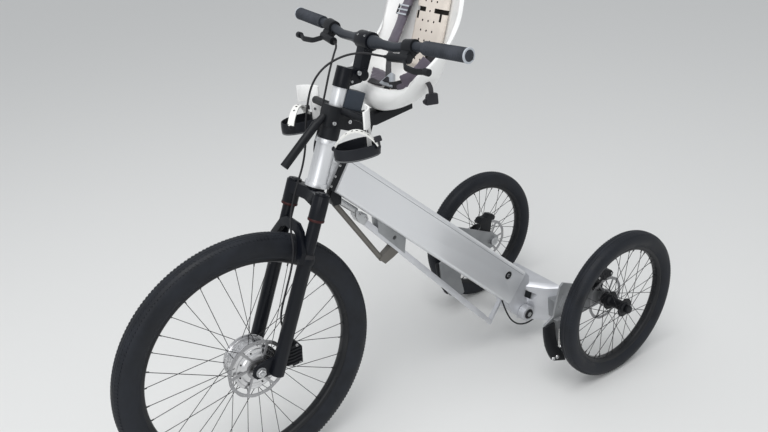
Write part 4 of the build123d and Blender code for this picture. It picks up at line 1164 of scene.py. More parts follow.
def brake_disc(name, axle, side, radius, inner, body, node):
    """Thin disc with a waved edge, a drilled track and open arms, with sizes in mm."""
    curve = bpy.data.curves.new(name, "CURVE")
    curve.dimensions = "2D"
    curve.fill_mode = "BOTH"
    curve.extrude = DISC_THICKNESS * MM / 2
    edge = []
    for turn in around(180):
        wave = 0.5 + 0.5 * math.cos(12 * turn)
        edge.append(polar(radius * (1 - DISC_WAVE * wave), turn))
    flat = [edge, [polar(inner, turn) for turn in around(48)]]
    track = radius - 9.5
    for start in around(6):
        window = [polar(track, start + math.radians(3 + 54 * step / 8)) for step in range(9)]
        window += [polar(inner + 8, start + math.radians(64 - 50 * step / 8)) for step in range(9)]
        flat.append(window)
    for ring, reach, count, hole in ((0, radius - 4.8, 48, 1.5), (2, inner + 4.2, 6, 2.0)):
        for index in range(count):
            middle_x, middle_y = polar(reach, 2 * math.pi * (index + 0.5 * ring) / count)
            corners = [polar(hole, turn) for turn in around(8)]
            flat.append([(middle_x + x, middle_y + y) for x, y in corners])
    for loop in flat:
        spline = curve.splines.new("POLY")
        spline.points.add(len(loop) - 1)
        for point, (x, y) in zip(spline.points, loop):
            point.co = (x * MM, y * MM, 0, 1)
        spline.use_cyclic_u = True
    holder = in_scene(name, curve)
    mesh = finished_mesh(holder)
    bpy.data.objects.remove(holder)
    place = Matrix.Translation(axle + Vector((0, side * MM, 0)))
    mesh.transform(place @ Matrix.Rotation(math.pi / 2, 4, "X"))
    cleaned(mesh, 1e-7)
    mesh.materials.clear()
    mesh.materials.append(disc_steel)
    shaded(mesh, 30)
    settled(in_scene(name, mesh), body, "steel", node)
    print(name, "faces", len(mesh.polygons))


brake_disc("front_brake_disc", FRONT_AXLE, 39, 80, 20, "front_wheel", "front_rotor")
for hand, axle, side in REAR_WHEELS:
    place = side * (REAR_DISC_SIDE - REAR_TRACK / 2)
    brake_disc(f"rear_brake_disc_{hand}", axle, place, 70, 19, f"rear_{hand}_wheel", f"rear_rotor_{hand}")

# %% [markdown]
# ## Beam, head tube and links
#
# These solids are right as they are packed, but their edges are perfectly sharp, and
# no made thing is. Each is copied, its flat triangles are merged, and its hard edges
# are rounded by a millimetre or so with a bevel. That small round catches the light
# and is what makes a plain block look like metal.

# %% Frame pieces
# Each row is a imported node, its finish and the rounding of its edges in mm.
FRAME_FINISHES = (
    ("main_beam", beam_silver, 0.5),
    ("front_flange", frame_black, 1.0),
    ("head_tube", head_silver, 1.0),
    ("front_lug", frame_black, 1.0),
    ("upper_link", rod_steel, 0.8),
    ("lower_tube", block_silver, 1.2),
    ("rear_arm", block_silver, 0.8),
    ("beam_bracket", plate_grey, 0.8),
    ("brace", brace_grey, 0.8),
    ("end_clevis", block_silver, 1.0),
    ("knuckle_block", block_silver, 1.2),
    ("knuckle_pin", screw_black, 0.6),
    ("side_plates", plate_grey, 0.8),
    ("cross_arms", plate_grey, 1.0),
    ("wheel_guards", guard_black, 1.6),
)
for node, material, width in FRAME_FINISHES:
    sharpness = 12 if node in ("knuckle_block", "cross_arms", "end_clevis") else 30
    made = softened(node, material, width, sharpness, sharpness + 2)
    print(node, "faces", len(made.data.polygons))

# %% [markdown]
# ### Trim on the beam and the knuckle
#
# Near the beam's lower end sits a black ring with a screw in its middle. A fine seam
# runs along the beam below its top edge. The knuckle turns on a pin with a broad
# screw in each boss, with a black plate beside it that paints the shade inside the
# opening, and the plates carry bright screws and a pale strip.

# %% Beam trim
BEAM_TOP_FRONT = Vector((HEAD_X - 65, HEAD_Z + 7))
BEAM_TOP_REAR = Vector((108, 262))
BOLT_RING = [(29.8, 6.2), (33.0, 6.2), (34.3, 7.4), (34.3, 11.4), (33.4, 12.6), (29.8, 12.6)]
BOLT_X = 185
BOLT_Z = 280
SEAM_SIDE = 33.9
SEAM_DROP = 12.5
SEAM_SHORT = 8
ring = lathe("beam_bolt_ring", BOLT_RING, at(BOLT_X, 0, BOLT_Z), screw_black, 48)
core = screws("beam_bolt_core", 6.2, 5.0, [(at(BOLT_X, 30.5, BOLT_Z), LEFT)], plate_grey)
settled(joined("beam_bolt", [ring, core]), "frame", "black_metal")

along_beam = (BEAM_TOP_REAR - BEAM_TOP_FRONT).normalized()
drop = Vector((along_beam.y, -along_beam.x))
if drop.y > 0:
    drop = -drop
seams = []
for side in (1, -1):
    first = BEAM_TOP_FRONT + along_beam * SEAM_SHORT + drop * SEAM_DROP
    last = BEAM_TOP_REAR - along_beam * SEAM_SHORT + drop * SEAM_DROP
    ends = [at(first.x, side * SEAM_SIDE, first.y), at(last.x, side * SEAM_SIDE, last.y)]
    seams.append(tube("seam", ends, 0.7 * MM, plate_grey, 8))
settled(joined("beam_seams", seams), "frame", "frame_silver")
print("beam seams", round((ends[1] - ends[0]).length, 3), "m long")

# %% Knuckle trim
PLATE_FACE = 250.6
PLATE_STRIP = [(181, 134), (189, 134), (189, 196), (181, 196)]
# Black plate on each side of the knuckle's opening: painted shade, a dark sheet where the inside of the
# opening is only in shadow.
KNUCKLE_SHADE_PLATE = [(104, 191.5), (79.5, 177), (86, 154.5), (109, 171)]


def side_prism(name, corners, sides, material):
    """Closed plate between two distances to the side, from corners seen from the side."""
    return lofted(name, [[at(x, y, z) for x, z in corners] for y in sides], material)


# Each row is a name, a radius, a height, the places on the left side, the way that the
# screws face, their finish and the finish of their sockets.
knuckle = []
for side, way in ((1, LEFT), (-1, RIGHT)):
    for name, radius, height, spots, facing_way, material, socket in (
        ("boss_screw", 17, 3.2, [(112, 54.6, 118)], way, screw_black, rod_steel),
        (
            "plate_screws", 6.2, 3.0,
            [(178.6, PLATE_FACE, 129.8), (208.6, PLATE_FACE, 100.5), (191.6, PLATE_FACE, 99.7)],
            way, screw_silver, plate_grey,
        ),
        (
            "lug_screws", 3.0, 1.6,
            [(170, 248, 234.2), (182, 248, 234.2), (194, 248, 234.2)],
            UP, screw_silver, None,
        ),
        (
            "flange_screws", 2.8, 1.6,
            [(733, 27.6, 820), (748, 27.6, 802), (764, 27.6, 778), (778, 27.6, 756)],
            way, screw_silver, None,
        ),
        ("link_screws", 3.4, 1.8, [(676, 13.4, 633), (694, 13.4, 648)], way, screw_silver, None),
    ):
        places = [(at(x, side * y, z), facing_way) for x, y, z in spots]
        knuckle.append(screws(name, radius, height, places, material, socket))
    knuckle.append(side_prism("plate_strip", PLATE_STRIP, (side * 249.5, side * 251.2), strap_white))
    # Black plate that paints the shade inside the knuckle's opening, on each side.
    knuckle.append(side_prism("shade_plate", KNUCKLE_SHADE_PLATE, (side * 28.5, side * 33), guard_black))
settled(joined("frame_screws", knuckle), "frame", "steel")
print("knuckle trim done")

# %% [markdown]
# ### Rear axles and calipers
#
# Each small wheel hangs on a stub axle with a hexagon nut inside and a black cap
# outside. A turned piece with only six steps round is a hexagon, so the same helper
# makes nuts. The calipers get a round piston cap and two screws.

# %% Rear axles
# Each row is a name, an outline of side and radius, a finish, a number of steps round
# the axle and the angle past which an edge stays crisp.
REAR_AXLE_PARTS = (
    ("stub", [(226, 0.05), (226, 6), (338, 6), (338, 0.05)], rod_steel, 32, 32),
    ("collar", [(226, 5), (226, 14), (227, 15), (236, 15), (236, 5)], rod_steel, 40, 32),
    ("nut", [(242, 5), (242, 11), (248, 11), (249, 10), (249, 5)], screw_silver, 6, 20),
    (
        "cap",
        [(337, 4), (337, 11), (339, 12.4), (346, 12.4), (349, 10.5), (350, 6), (350, 0.05), (345, 0.05)],
        frame_black, 40, 32,
    ),
)


def both_sides(profiles, centre):
    """Turned pieces on both sides of the middle, from profiles for the left side."""
    made = []
    for side in (1, -1):
        for name, profile, material, segments, angle in profiles:
            placed = [(side * reach, radius) for reach, radius in profile]
            made.append(lathe(name, placed, centre, material, segments, angle))
    return made


axle_parts = both_sides(REAR_AXLE_PARTS, at(0, 0, REAR_RADIUS))
settled(joined("rear_axle_set", axle_parts), "frame", "steel", "rear_axles")
print("rear axle pieces", len(axle_parts))

# %% Rear calipers
softened("rear_calipers", frame_black, 1.4)
PISTON_CAP = [(267.5, 0.05), (267.5, 9.5), (269.0, 9.5), (269.8, 8.4), (269.8, 0.05)]
caliper_trim = []
for side, way in ((1, LEFT), (-1, RIGHT)):
    cap = [(side * reach, radius) for reach, radius in PISTON_CAP]
    caliper_trim.append(lathe("piston_cap", cap, at(22, 0, 316), frame_black, 32))
    spots = [(48, 268.8, 322), (-6, 268.8, 318), (26, PLATE_FACE, 270)]
    places = [(at(x, side * y, z), way) for x, y, z in spots]
    caliper_trim.append(screws("caliper_screws", 3.4, 2.2, places, screw_silver))
settled(joined("rear_caliper_trim", caliper_trim), "frame", "steel")
print("rear calipers done")

# %% [markdown]
# ## Suspension fork
#
# The fork is black. Its two legs are turned pieces on lines along the steering axis: a
# cap on the crown, a sleeve with a dark red ring at its foot, a slim upper tube, and a
# dust seal where that tube enters the lower leg. The crown, the arch and the lower
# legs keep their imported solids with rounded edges.

# %% Fork legs
softened("fork_crown", fork_black, 1.6)
softened("fork_lowers", fork_black, 1.6)
LEG_FORWARD = 21
LEG_SIDE = 65
# Each row is a name, an outline of height along the leg and radius, a finish and a
# number of steps round the leg.
LEG_TRIM = (
    ("leg_cap", [(-66.5, 17), (-62.5, 17), (-61, 15.5), (-61, 10), (-59.5, 9), (-59.5, 1)], fork_black, 40),
    (
        "leg_ring",
        [(-129.5, 16.5), (-129.5, 20.2), (-128.5, 20.8), (-124.5, 20.8), (-123.5, 20.2), (-123.5, 16.5)],
        ring_red, 48,
    ),
    (
        "dust_seal",
        [(-221.9, 15.6), (-221.9, 20.4), (-217, 19.6), (-214, 17.6), (-212, 16.8), (-212, 15.6)],
        hose_rubber, 48,
    ),
    ("foot_plug", [(-532.4, 1), (-532.4, 11), (-531, 13), (-528, 13)], fork_black, 32),
)
upper_tubes = []
leg_trim = []
for side in (1, -1):
    leg = (LEG_FORWARD, side * LEG_SIDE)
    upper_tubes.append(spun("upper_tube", [(-224, 15.4), (-125, 15.4)], *leg, fork_black, 40))
    for name, profile, material, segments in LEG_TRIM:
        leg_trim.append(spun(name, profile, *leg, material, segments))
settled(joined("fork_upper_tubes", upper_tubes), "steering", "black_metal", "stanchions")
settled(joined("fork_leg_trim", leg_trim), "steering", "black_metal")
print("fork legs done")

# %% Front axle
THROUGH_AXLE = [(-72, 0.05), (-72, 5), (-71, 6), (71, 6), (72, 5), (72, 0.05)]
FRONT_AXLE_PARTS = (
    ("axle_nut", [(58, 5), (58, 12), (65.5, 12), (67, 10.6), (67, 5)], screw_silver, 6, 20),
    ("axle_washer", [(57.9, 5), (57.9, 13.4), (59.4, 13.4), (59.4, 5)], rod_steel, 40, 32),
)
axle_parts = [lathe("through_axle", THROUGH_AXLE, FRONT_AXLE, rod_steel, 32)]
axle_parts += both_sides(FRONT_AXLE_PARTS, FRONT_AXLE)
settled(joined("front_axle_set", axle_parts), "steering", "steel", "front_axle")
print("front axle done")

# %% [markdown]
# ### Front caliper
#
# The caliper on the left leg is a small black casting with cooling fins on its outer
# face, two bridge screws and a hose fitting. The fins are one thin plate, repeated.

# %% Front caliper
softened("front_caliper", frame_black, 1.6)
FIN_COUNT = 5
FIN_LOW = 334
FIN_PITCH = 9.5
FIN_OUTLINE = ((930, 0), (952, -1), (976, 2), (976, 4.6), (952, 1.6), (930, 2.6))
fins = []
for step in range(FIN_COUNT):
    low = FIN_LOW + step * FIN_PITCH
    corners = [(x, low + rise) for x, rise in FIN_OUTLINE]
    fins.append(side_prism("fin", corners, (61.5, 65.5), frame_black))
bridge = [(at(936, 62.8, 329), LEFT), (at(940, 62.8, 383), LEFT)]
fins.append(screws("bridge_screws", 3.6, 2.6, bridge, screw_silver))
settled(joined("front_caliper_trim", fins), "steering", "black_metal")
print("front caliper done")

# %% [markdown]
# ## Steering column, stem and handlebar
#
# Above the head tube come a black block that carries the seat and the foot cups, a
# short silver tube with a dark box behind it, and a black stem that folds at a pivot.
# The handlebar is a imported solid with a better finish. Pale screws mark the block.

# %% Column pieces
for node, material, width in (
    ("seat_mount", frame_black, 1.4),
    ("front_bar", frame_black, 0.6),
    ("latch_box", latch_grey, 2.0),
    ("column_tube", head_silver, 0.3),
    ("stem", fork_black, 1.6),
    ("handlebar", bar_black, 0.0),
    ("lever_bodies", frame_black, 1.6),
):
    made = softened(node, material, width)
    print(node, "faces", len(made.data.polygons))


print("column pieces done")

# %% Column screws
# Each row is a name, a radius, a height, the places on the left side and a finish.
COLUMN_SCREWS = (
    ("block_screws", 5.2, 2.4, [(709, 24.6, 903), (752, 24.6, 909), (664, 24.6, 896)], screw_silver),
    ("pivot_screws", 6.0, 3.0, [(672, 23.8, 1014)], rod_steel),
    ("stem_screws", 3.6, 2.2, [(690, 17.8, 996)], rod_steel),
)
column_screws = []
for side, way in ((1, LEFT), (-1, RIGHT)):
    for name, radius, height, spots, material in COLUMN_SCREWS:
        places = [(at(x, side * y, z), way) for x, y, z in spots]
        column_screws.append(screws(name, radius, height, places, material, plate_grey))
    places = [(at(643, side * 14, 1095), (0.55, 0, 0.83)), (at(612, side * 14, 1096), (-0.6, 0, 0.8))]
    column_screws.append(screws("bar_clamp_screws", 3.0, 2.0, places, rod_steel))
settled(joined("column_screws", column_screws), "steering", "steel")
print("column screws done")

# %% [markdown]
# ### Grips and brake levers
#
# A grip is a soft sleeve with rounded ribs round it and a pale ring at its end. The
# ribs follow from the radius: the sleeve is one tube whose radius rises and falls
# along its length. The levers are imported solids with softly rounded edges.

# %% Grips
RIB_PITCH = 5.2
GRIP_STEPS = 156
GRIP_PLAIN = 9
BAR_X = 628
BAR_Z = 1080
# Each pair is a distance past the grip's end and a radius, in mm.
END_RING = ((-3.0, 16.2), (-2.4, 16.8), (0.0, 16.8), (0.6, 16.2), (0.6, 12.8), (-1.0, 12.6))
END_PLUG = ((-2.0, 12.7), (0.5, 12.7), (1.2, 11.4))
grip_parts = []
for side in (1, -1):
    start = at(BAR_X - 9.2, side * 212, BAR_Z + 13.3)
    end = at(BAR_X - 17, side * 346, BAR_Z + 18)
    length = (end - start).length
    run = (end - start).normalized()
    route = []
    radii = []
    for step in range(GRIP_STEPS + 1):
        reach = length * step / GRIP_STEPS
        rib = 0.5 + 0.5 * math.cos(2 * math.pi * reach / (RIB_PITCH * MM))
        from_end = min(reach, length - reach) / MM
        base = 15.9 - 0.5 * max(0, 1.5 - from_end)
        if from_end > GRIP_PLAIN:
            base = 14.6 + 1.3 * rib
        route.append(start + run * reach)
        radii.append(base * MM)
    grip_parts.append(tube("ribbed_sleeve", route, radii, grip_rubber, 28))
    for name, profile, material, sides in (
        ("end_ring", END_RING, buckle_grey, 36),
        ("end_plug", END_PLUG, grip_rubber, 32),
    ):
        route = [end + run * (offset * MM) for offset, radius in profile]
        grip_parts.append(tube(name, route, [radius * MM for offset, radius in profile], material, sides))
settled(joined("ribbed_grips", grip_parts), "steering", "rubber", "grips")
print("grips done")

# %% Brake levers
softened("lever_blades", frame_black, 1.8)
lever_screws = []
for side in (1, -1):
    spots = [(at(648, side * 150, 1066.5), (0.3, 0, 0.95)), (at(640, side * 172, 1070), (0.3, 0, 0.95))]
    lever_screws.append(screws("lever_screws", 3.4, 2.0, spots, screw_silver))
settled(joined("lever_screws", lever_screws), "steering", "steel")
print("levers done")

# %% [markdown]
# ## Child seat
#
# The seat is one moulded shell: a deep pan, a flat middle to its back, and two wings
# that sweep forward and hold the child's sides. Such a form is a loft. Two side-view
# lines are drawn, one down the middle and one along the rim, and every cross-section
# runs from one to the other. At the front both lines roll over into a lip. In the pan
# the section is a rounded bowl, and in the back it stays flat to a crease and then
# sweeps forward. The wall is thickest at the rim, as on a real moulding, and the rim's
# edge is rounded by a bevel.

# %% Seat lines
# The middle line has x and z in mm, and the rim line has x, z and the half width.
MIDDLE_LINE = [
    (600, 950), (608, 963), (622, 966), (635, 954), (638, 935), (629, 916), (606, 905), (564, 904),
    (514, 915), (470, 950), (434, 1045), (405, 1140), (392, 1222), (396, 1266),
]
RIM_LINE = [
    (594, 972, 104), (601, 982, 112), (607, 986, 118), (608, 987, 124), (603, 990, 128),
    (594, 996, 130), (582, 1004, 132), (562, 1014, 133), (530, 1036, 137), (494, 1068, 142),
    (466, 1110, 146), (449, 1160, 144), (430, 1224, 130), (407, 1264, 92),
]
WALL = 6.0
LIP = 4.0
LIP_CELLS = 3.0
RIM_ROUND = 2.6
CREASE = 0.40
WING = 1.25
BOWL = 1.85
BACK_FROM = 0.62
BACK_BLEND = 0.12


def smooth_line(points, count):
    """Even stations on a Catmull-Rom line through points of any width."""
    knots = np.array(points, float)
    padded = np.vstack([2 * knots[0] - knots[1], knots, 2 * knots[-1] - knots[-2]])
    stations = []
    for place in np.linspace(0, len(points) - 1, count):
        first = min(int(place), len(points) - 2)
        t = place - first
        a, b, c, d = padded[first:first + 4]
        square = (2 * a - 5 * b + 4 * c - d) * t ** 2
        cube = (3 * b - a - 3 * c + d) * t ** 3
        stations.append(0.5 * (2 * b + (c - a) * t + square + cube))
    return np.array(stations)


def seat_grid(rows, columns):
    """Outer face of the shell, as an array of drawing points, nose first."""
    middle = smooth_line(MIDDLE_LINE, rows)
    rim = smooth_line(RIM_LINE, rows)
    grid = np.zeros((rows, columns, 3))
    for row in range(rows):
        back = min(max((row / (rows - 1) - BACK_FROM) / BACK_BLEND, 0), 1)
        back = back * back * (3 - 2 * back)
        for index in range(columns):
            across = math.sin(math.pi / 2 * (2 * index / (columns - 1) - 1))
            reach = abs(across)
            bowl = 1 - (1 - min(reach, 1.0) ** BOWL) ** (1 / BOWL)
            wing = max(0.0, (reach - CREASE) / (1 - CREASE)) ** WING
            share = bowl * (1 - back) + wing * back
            x = middle[row][0] + (rim[row][0] - middle[row][0]) * share
            z = middle[row][1] + (rim[row][1] - middle[row][1]) * share
            grid[row][index] = (x, across * rim[row][2], z)
    return grid


print("seat line knots", len(MIDDLE_LINE))

# %% Closed shell from two grids
def bevelled(work, edges, width, segments):
    """Edges of a working mesh rounded by a width in mm."""
    bmesh.ops.bevel(
        work, geom=edges, offset=width * MM, segments=segments, profile=0.5,
        affect="EDGES", clamp_overlap=True,
    )


def shell_between(name, outer, inner, material):
    """Closed shell from two point grids, with its open edge joined."""
    rows, columns = outer.shape[:2]
    points = [at(*point) for grid in (outer, inner) for point in grid.reshape(-1, 3)]
    offset = rows * columns
    faces = []
    for row in range(rows - 1):
        for index in range(columns - 1):
            a = row * columns + index
            quad = (a, a + 1, a + columns + 1, a + columns)
            faces.append(quad)
            faces.append(tuple(offset + corner for corner in reversed(quad)))
    border = list(range(columns))
    border += [row * columns + columns - 1 for row in range(1, rows)]
    border += [(rows - 1) * columns + index for index in range(columns - 2, -1, -1)]
    border += [row * columns for row in range(rows - 2, 0, -1)]
    for place, corner in enumerate(border):
        following = border[(place + 1) % len(border)]
        faces.append((corner, following, offset + following, offset + corner))
    made = piece(name, points, faces, material, 40)
    work = bmesh.new()
    work.from_mesh(made.data)
    bevelled(work, sharp_edges(work, 50), RIM_ROUND, 3)
    work.to_mesh(made.data)
    work.free()
    shaded(made.data, 50)
    return made


print("shell helpers ready")

# %% Seat shell
ROWS = 105
COLUMNS = 61
outer_grid = seat_grid(ROWS, COLUMNS)
down_rows = np.gradient(outer_grid, axis=0)
along_columns = np.gradient(outer_grid, axis=1)
inward = np.cross(down_rows, along_columns)
inward /= np.linalg.norm(inward, axis=2, keepdims=True)
seat_heart = np.array([540.0, 0.0, 1060.0])
back_cell = (round(ROWS * 0.8), COLUMNS // 2)
inward *= np.sign(np.sum(inward[back_cell] * (seat_heart - outer_grid[back_cell])))
edge_share = np.zeros((ROWS, COLUMNS, 1))
for row in range(ROWS):
    for index in range(COLUMNS):
        to_edge = min(row, ROWS - 1 - row, index, COLUMNS - 1 - index)
        edge_share[row][index] = max(0.0, 1 - to_edge / LIP_CELLS)
inner_grid = outer_grid + inward * (WALL + LIP * edge_share)
shell = shell_between("moulded_seat_shell", outer_grid, inner_grid, seat_white)
settled(shell, "steering", "white_plastic", "seat_shell")
print("seat shell faces", len(shell.data.polygons))


def seat_point(row_share, across, lift):
    """Point over the shell's inner face, by share of its length, side in mm and lift in mm."""
    row = min(int(row_share * (ROWS - 1)), ROWS - 1)
    index = int(np.argmin(np.abs(inner_grid[row, :, 1] - across)))
    return Vector(at(*(inner_grid[row, index] + inward[row, index] * lift)))


# %% [markdown]
# ### Pads
#
# Foam under cloth bulges between its seams, and that shape is hard to draw but easy to
# blow up. Each pad starts as a thin closed block, gets an even skin of small squares,
# and is inflated by the cloth simulation with no gravity. A cap on the movement keeps
# it in its place. The back pad is pale beige, the seat's white with painted shade in it.
# It has punched holes and two pairs of T-shaped slots for the harness, which are cut
# when the pad has its shape.

# %% Stuffing helper
SKIN_SQUARE = 4.5
STUFFING_PRESSURE = 4.0
STUFFING_FRAMES = 20


def stuffed(name, block, material, cap):
    """Pad inflated from a closed block, with its movement capped in mm."""
    skin = block.modifiers.new("skin", "REMESH")
    skin.mode = "VOXEL"
    skin.voxel_size = SKIN_SQUARE * MM
    mesh = finished_mesh(block)
    block.modifiers.clear()
    block.data = mesh
    start = np.empty(len(mesh.vertices) * 3)
    mesh.vertices.foreach_get("co", start)
    start = start.reshape(-1, 3)
    cloth = block.modifiers.new("stuffing", "CLOTH")
    cloth.settings.use_pressure = True
    cloth.settings.uniform_pressure_force = STUFFING_PRESSURE
    cloth.settings.effector_weights.gravity = 0.0
    cloth.settings.quality = 5
    cloth.point_cache.frame_start = 1
    cloth.point_cache.frame_end = STUFFING_FRAMES
    for step in range(1, STUFFING_FRAMES + 1):
        scene.frame_set(step)
    graph = bpy.context.evaluated_depsgraph_get()
    puffed_mesh = block.evaluated_get(graph).to_mesh()
    puffed = np.empty(len(start) * 3)
    puffed_mesh.vertices.foreach_get("co", puffed)
    shift = puffed.reshape(-1, 3) - start
    far = np.linalg.norm(shift, axis=1, keepdims=True)
    shift *= np.minimum(1.0, cap * MM / np.maximum(far, 1e-9))
    block.evaluated_get(graph).to_mesh_clear()
    block.modifiers.clear()
    mesh.vertices.foreach_set("co", (start + shift).ravel())
    mesh.update()
    scene.frame_set(1)
    finer = block.modifiers.new("finer", "SUBSURF")
    finer.levels = 1
    finer.render_levels = 1
    fine = finished_mesh(block)
    block.modifiers.clear()
    block.data = fine
    fine.materials.clear()
    fine.materials.append(material)
    fine.polygons.foreach_set("use_smooth", [True] * len(fine.polygons))
    block.name = name
    print(name, "faces", len(fine.polygons))
    return block


print("stuffing helper ready")

# %% Strips and weave
def cloth_map(made, first, second):
    """UV map in metres along two directions, for the weave."""
    layer = made.data.uv_layers.new(name="cloth")
    for loop in made.data.loops:
        place = made.data.vertices[loop.vertex_index].co
        layer.data[loop.index].uv = (place.dot(first), place.dot(second))


def slab(name, path, across, width, thick, material):
    """Closed flat strip along points in metres. Across is its width direction."""
    rings = []
    for index, place in enumerate(path):
        before = path[max(index - 1, 0)]
        after = path[min(index + 1, len(path) - 1)]
        along = (after - before).normalized()
        side = (Vector(across) - along * Vector(across).dot(along)).normalized() * (width / 2 * MM)
        face = along.cross(side).normalized() * (thick / 2 * MM)
        rings.append([place + side * s + face * f for s, f in SQUARE])
    return lofted(name, rings, material, 50)


print("strip helpers ready")

# %% Back pad
back_line = [seat_point(share, 0, 9.0) for share in np.linspace(0.72, 0.93, 12)]
back_block = slab("back_block", back_line, LEFT, 128, 9, pad_beige_painted_shade)
back_pad = stuffed("perforated_back_pad", back_block, pad_beige_painted_shade, 5)
print("back pad stuffed")

# %% [markdown]
# ### Holes and slots
#
# Air holes and harness slots go right through the back pad. The holes repeat, so a tree
# makes a grid of thin cylinders, and each slot is a prism of a T-shaped outline. They
# are taken out one after another, and none of them overlaps the next, because an exact
# boolean can fail on overlapping cutters. The cut faces take a dark colour that paints
# the shade inside the holes and slots.

# %% Punch tree
hole_tree, entry, leave = node_tree("punch_grid", [
    ("Across", "Int", 6),
    ("Along", "Int", 3),
    ("Pitch", "Float", 0.022),
    ("Row Pitch", "Float", 0.026),
    ("Hole", "Float", 0.0026),
    ("Finish", "Material", None),
])
t = hole_tree
given = entry.outputs
sheet = wired(
    t, "GeometryNodeMeshGrid",
    Size_X=maths(t, "MULTIPLY", maths(t, "SUBTRACT", given["Across"], 1.0), given["Pitch"]),
    Size_Y=maths(t, "MULTIPLY", maths(t, "SUBTRACT", given["Along"], 1.0), given["Row Pitch"]),
    Vertices_X=given["Across"], Vertices_Y=given["Along"],
)
punch = wired(t, "GeometryNodeMeshCylinder", Vertices=12, Radius=given["Hole"], Depth=0.05)
punches = wired(t, "GeometryNodeInstanceOnPoints", Points=sheet.outputs[0], Instance=punch.outputs[0])
real = wired(t, "GeometryNodeRealizeInstances", Geometry=punches.outputs[0])
tinted = wired(t, "GeometryNodeSetMaterial", Geometry=real.outputs[0], Material=given["Finish"])
t.links.new(tinted.outputs[0], leave.inputs[0])
print("punch tree nodes", len(hole_tree.nodes))

# %% Holes and slots
low_place = seat_point(0.78, 0, 0)
high_place = seat_point(0.90, 0, 0)
back_up = (high_place - low_place).normalized()
back_out = LEFT.cross(back_up).normalized()
if back_out.x < 0:
    back_out = -back_out
back_turn = Matrix((
    (0, back_up.x, back_out.x, 0),
    (1, back_up.y, back_out.y, 0),
    (0, back_up.z, back_out.z, 0),
    (0, 0, 0, 1),
))


def on_back(height, across, lift):
    """Point on the back's plane at a height in mm above the ground."""
    share = (height * MM - low_place.z) / (high_place.z - low_place.z)
    return low_place.lerp(high_place, share) + LEFT * (across * MM) + back_out * (lift * MM)


HARNESS_TEE = [(-27, -6), (-4, -6), (-4, -24), (4, -24), (4, -6), (16, -6), (16, 5), (-27, 5)]
TEE_SIDE = 44
TEE_HEIGHTS = (1010, 1118)
TEE_LIFTS = (2, 48)
punches = grown("punches", hole_tree, {
    "Across": 3, "Along": 8, "Pitch": 22 * MM, "Row Pitch": 24 * MM, "Hole": 2.8 * MM, "Finish": hole_painted_shade,
})
punches.data.transform(Matrix.Translation(on_back(1080, 0, 25)) @ back_turn)
cutters = [punches]
for side in (1, -1):
    for height in TEE_HEIGHTS:
        corners = [(height + up, side * (TEE_SIDE + across)) for across, up in HARNESS_TEE]
        rings = [[on_back(*corner, lift) for corner in corners] for lift in TEE_LIFTS]
        cutters.append(lofted("harness_tee", rings, hole_painted_shade))
for material in (pad_beige_painted_shade, hole_painted_shade):
    if material.name not in back_pad.data.materials:
        back_pad.data.materials.append(material)
print("back pad faces before the cut", len(back_pad.data.polygons))
for cutter in cutters:
    cut(back_pad, cutter)
print("back pad faces after the cut", len(back_pad.data.polygons))
settled(back_pad, "steering", "pad_fabric", "back_pad")
print("back slope", round(math.degrees(math.atan2(back_up.x, back_up.z)), 1))

# %% Seat pad
pan_line = [at(582, 0, 926), at(560, 0, 924), at(530, 0, 928)]
pan_block = slab("pan_block", pan_line, LEFT, 112, 12, pad_beige_painted_shade)
pan_pad = stuffed("pan_pad", pan_block, pad_beige_painted_shade, 7)
settled(pan_pad, "steering", "pad_fabric", "seat_pad")
print("seat pad done")

# %% [markdown]
# ### Harness
#
# The shoulder and lap straps are sleeves of padded purple-grey cloth over flat black
# webbing. The sleeves are stuffed like the pads. Webbing is too thin for that, so it is
# a flat strip along a line. The far sleeve carries a pale ladder slide, and the straps
# meet in a three-cornered grey buckle. A black clip hangs at the seat's left side.

# %% Shoulder sleeves
def line_through(points, count):
    """Smooth line through drawing points, as points in metres."""
    return [at(*point) for point in smooth_line(points, count)]


FAR_SLEEVE = [(426, -62, 1196), (440, -76, 1140), (466, -80, 1088), (502, -78, 1040)]
NEAR_SLEEVE = [(508, 86, 1022), (526, 78, 1002), (546, 66, 984), (566, 48, 970)]
sleeves = []
for name, path, across in (("far", FAR_SLEEVE, (0, 1, 0.1)), ("near", NEAR_SLEEVE, (0.38, -0.54, 0.74))):
    block = slab(f"{name}_block", line_through(path, 14), across, 42, 8, harness_cloth)
    sleeve = stuffed(f"{name}_shoulder_sleeve", block, harness_cloth, 4)
    cloth_map(sleeve, LEFT, Vector((0.5, 0, 0.86)))
    sleeves.append(sleeve)
sleeve_pair = joined("shoulder_sleeves", sleeves)
settled(sleeve_pair, "steering", "pad_fabric", "shoulder_pads")
print("shoulder sleeves done")

# %% Lap sleeves
lap_paths = (
    ([(528, -98, 974), (552, -76, 963), (572, -56, 958), (588, -36, 958)], (0.72, -0.64, 0.28), 42),
    ([(522, 104, 990), (542, 82, 972), (560, 56, 962), (574, 32, 958)], (0.05, -0.36, 0.93), 32),
)
laps = []
for index, (path, across, width) in enumerate(lap_paths):
    block = slab(f"lap_block_{index}", line_through(path, 12), across, width, 5, harness_cloth)
    lap = stuffed(f"lap_sleeve_{index}", block, harness_cloth, 3)
    cloth_map(lap, LEFT, Vector((0.86, 0, 0.5)))
    laps.append(lap)
lap_pair = joined("lap_sleeves", laps)
settled(lap_pair, "steering", "pad_fabric")
print("lap sleeves done")

# %% [markdown]
# ### Webbing, buckle, slide and clip
#
# Webbing is flat, and it reads as flat only if its face looks the right way, so each
# strip is given its own width direction. The buckle, its button, the clip and the toggles are plates with
# rounded corners: one helper rounds the upright edges first and the flat ones after.
# The ladder slide is three short bars between two rails.

